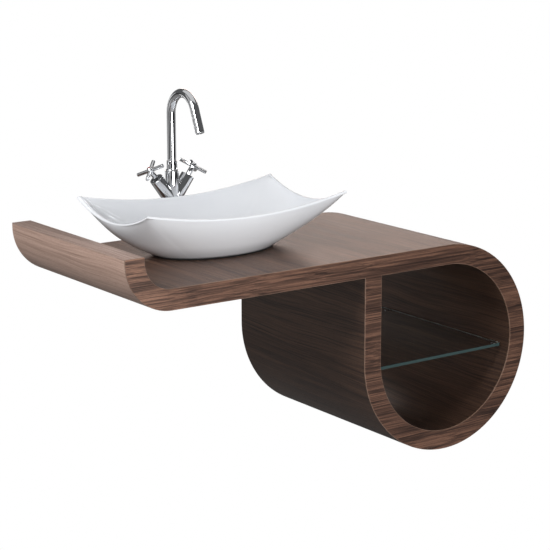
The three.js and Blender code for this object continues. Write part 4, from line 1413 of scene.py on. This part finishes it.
collar = turned("spout_collar_sleeve", eased([
    (SPOUT + 0.00035, COLUMN + 0.0003), (BARREL - 0.0015, COLUMN + 0.0003), (BARREL - 0.0025, COLUMN + 0.003),
    (SPOUT + 0.002, COLUMN + 0.004), (SPOUT + 0.002, COLUMN + 0.025), (SPOUT + 0.0012, COLUMN + 0.026),
    (SPOUT + 0.00035, COLUMN + 0.026), (SPOUT + 0.00035, COLUMN + 0.0003),
], 0.0005), chrome, 96, at_tap)
settle(collar, "root", ("spout_collar",))

at_outlet = at_tap @ Matrix.Translation(outlet) @ Matrix.Rotation(OUTLET_ANGLE, 4, "X")
housing = turned("aerator_shell", eased([
    (0.0072, -0.009), (SPOUT_BORE - 0.0007, -0.009), (SPOUT_BORE - 0.0007, 0.0003), (SPOUT, 0.0003),
    (SPOUT, 0.0034), (SPOUT - 0.0007, 0.004), (0.0072, 0.004), (0.0072, -0.009),
], 0.0002), chrome, 96, at_outlet)
settle(housing, "spout", ("aerator_housing",))


def round_pattern_tree():
    """Repeats a small piece round Z, turned by one step from each copy to the next."""
    tree, nodes, links, source = new_tree("round_pattern", {
        "Piece": "Geometry", "Count": "Int", "Step": "Float",
    })
    places = nodes.new("GeometryNodeMeshLine")
    places.inputs["Offset"].default_value = (0, 0, 0)
    links.new(source.outputs["Count"], places.inputs["Count"])
    index = nodes.new("GeometryNodeInputIndex")
    turn = nodes.new("ShaderNodeMath")
    turn.operation = "MULTIPLY"
    links.new(index.outputs["Index"], turn.inputs[0])
    links.new(source.outputs["Step"], turn.inputs[1])
    rotation = nodes.new("ShaderNodeCombineXYZ")
    links.new(turn.outputs[0], rotation.inputs["Z"])
    spread = nodes.new("GeometryNodeInstanceOnPoints")
    links.new(places.outputs["Mesh"], spread.inputs["Points"])
    links.new(source.outputs["Piece"], spread.inputs["Instance"])
    links.new(rotation.outputs["Vector"], spread.inputs["Rotation"])
    end_tree(nodes, links, source, spread.outputs["Instances"])
    return tree


round_pattern = round_pattern_tree()
insert = rod("aerator_disc", 0.0067, -0.006, 0.0014, nylon, None, 0.0003, 64)
for reach, count in ((0.0, 1), (0.0022, 6), (0.0044, 12)):
    jets = rod("jets", 0.00075, -0.007, 0.002, nylon, Matrix.Translation((reach, 0, 0)), 0.0, 12)
    jets = run_tree(jets, round_pattern, Count=count, Step=2 * math.pi / count, Finish=nylon)
    insert = combine(insert, jets, "DIFFERENCE")
insert.data.transform(at_outlet)
settle(insert, "spout", ("aerator_insert",))
finish_nodes(nylon, "spout_bush")
finish_nodes(rubber, "spout_o_ring")

# ---- Mixer tap: valves and cross handles -------------------------------------------------------------------
# Each steel-cased valve has a quarter-turn spindle, and a chromed cross handle of two rods
# through a hub is screwed to it under a small cap with an enamel dot.

HUB_REACH = 0.108
HUB = 0.0074
NECK = 0.0066
NECK_BORE = 0.0043
NECK_FOOT = BARREL_LENGTH + 0.0004
NECK_TOP = HUB_REACH - 0.0065
ROD_LENGTH = 0.076
ROD = 0.0047
TURNS = {"hot": math.radians(51), "cold": math.radians(42)}

red_dot = handled(
    "red_enamel", (0.36, 0.02, 0.015), (0.30, 0.02, 0.015), 0.2, 0.1, 400, 0.00002,
    {"Coat Weight": 0.5},
)
blue_dot = handled(
    "blue_enamel", (0.16, 0.24, 0.42), (0.13, 0.20, 0.36), 0.2, 0.1, 400, 0.00002,
    {"Coat Weight": 0.5},
)

for name, side, dot in (("hot", -1, red_dot), ("cold", 1, blue_dot)):
    place = on_barrel(side)
    spin_body = name + "_handle"
    neck = turned(name + "_neck_sleeve", eased([
        (NECK_BORE, NECK_FOOT), (NECK, NECK_FOOT), (NECK, NECK_TOP), (NECK_BORE, NECK_TOP),
        (NECK_BORE, NECK_FOOT),
    ], 0.0005), chrome, 64, place)
    settle(neck, spin_body, (name + "_neck",))
    start = TURNS[name] - math.pi / 2 if side > 0 else math.pi / 2 - TURNS[name]
    along_y = Matrix.Rotation(start, 4, "Z") @ Matrix.Rotation(-math.pi / 2, 4, "X")
    at_hub = Matrix.Translation((0, 0, HUB_REACH))
    across = at_hub @ Matrix.Rotation(math.pi / 2, 4, "Z") @ along_y
    half = ROD_LENGTH / 2
    cross = rod(name + "_cross", ROD, -half, half, chrome, at_hub @ along_y, 0.0007, 64)
    cross = combine(cross, rod("second_rod", ROD, -half, half, chrome, across, 0.0007, 64), "UNION")
    hub = rod("hub", HUB, HUB_REACH - 0.0062, HUB_REACH + 0.006, chrome, None, 0.0009, 64)
    cross = combine(cross, hub, "UNION")
    for radius, foot, top in (
        (0.0044, HUB_REACH - 0.007, HUB_REACH - 0.0031),
        (0.0019, HUB_REACH - 0.004, HUB_REACH + 0.004),
        (0.0046, HUB_REACH + 0.001, HUB_REACH + 0.007),
    ):
        bore = rod("bore", radius, foot, top, chrome, None, 0.0, 48)
        cross = combine(cross, bore, "DIFFERENCE")
    cross.data.transform(place)
    smooth_by_angle(cross, 24)
    settle(cross, spin_body, (name + "_cross_handle",))
    cap = turned(name + "_cap", eased([
        (0, HUB_REACH + 0.004), (0.0042, HUB_REACH + 0.004), (0.0042, HUB_REACH + 0.0063),
        (0.006, HUB_REACH + 0.0063), (0.006, HUB_REACH + 0.0074), (0.0046, HUB_REACH + 0.0086),
        (0.0038, HUB_REACH + 0.0088), (0.0036, HUB_REACH + 0.0086), (0, HUB_REACH + 0.0086),
    ], 0.0002), chrome, 64, place)
    settle(cap, spin_body, (name + "_index_cap",))
    inlay = turned(name + "_dot", [
        (0, HUB_REACH + 0.0084), (0.0036, HUB_REACH + 0.0084), (0.0034, HUB_REACH + 0.00878),
        (0.0018, HUB_REACH + 0.0089), (0, HUB_REACH + 0.00893),
    ], dot, 32, place)
    settle(inlay, spin_body)
    finish_nodes(steel, name + "_cartridge", name + "_spindle")
    finish_nodes(zinc, name + "_handle_screw")
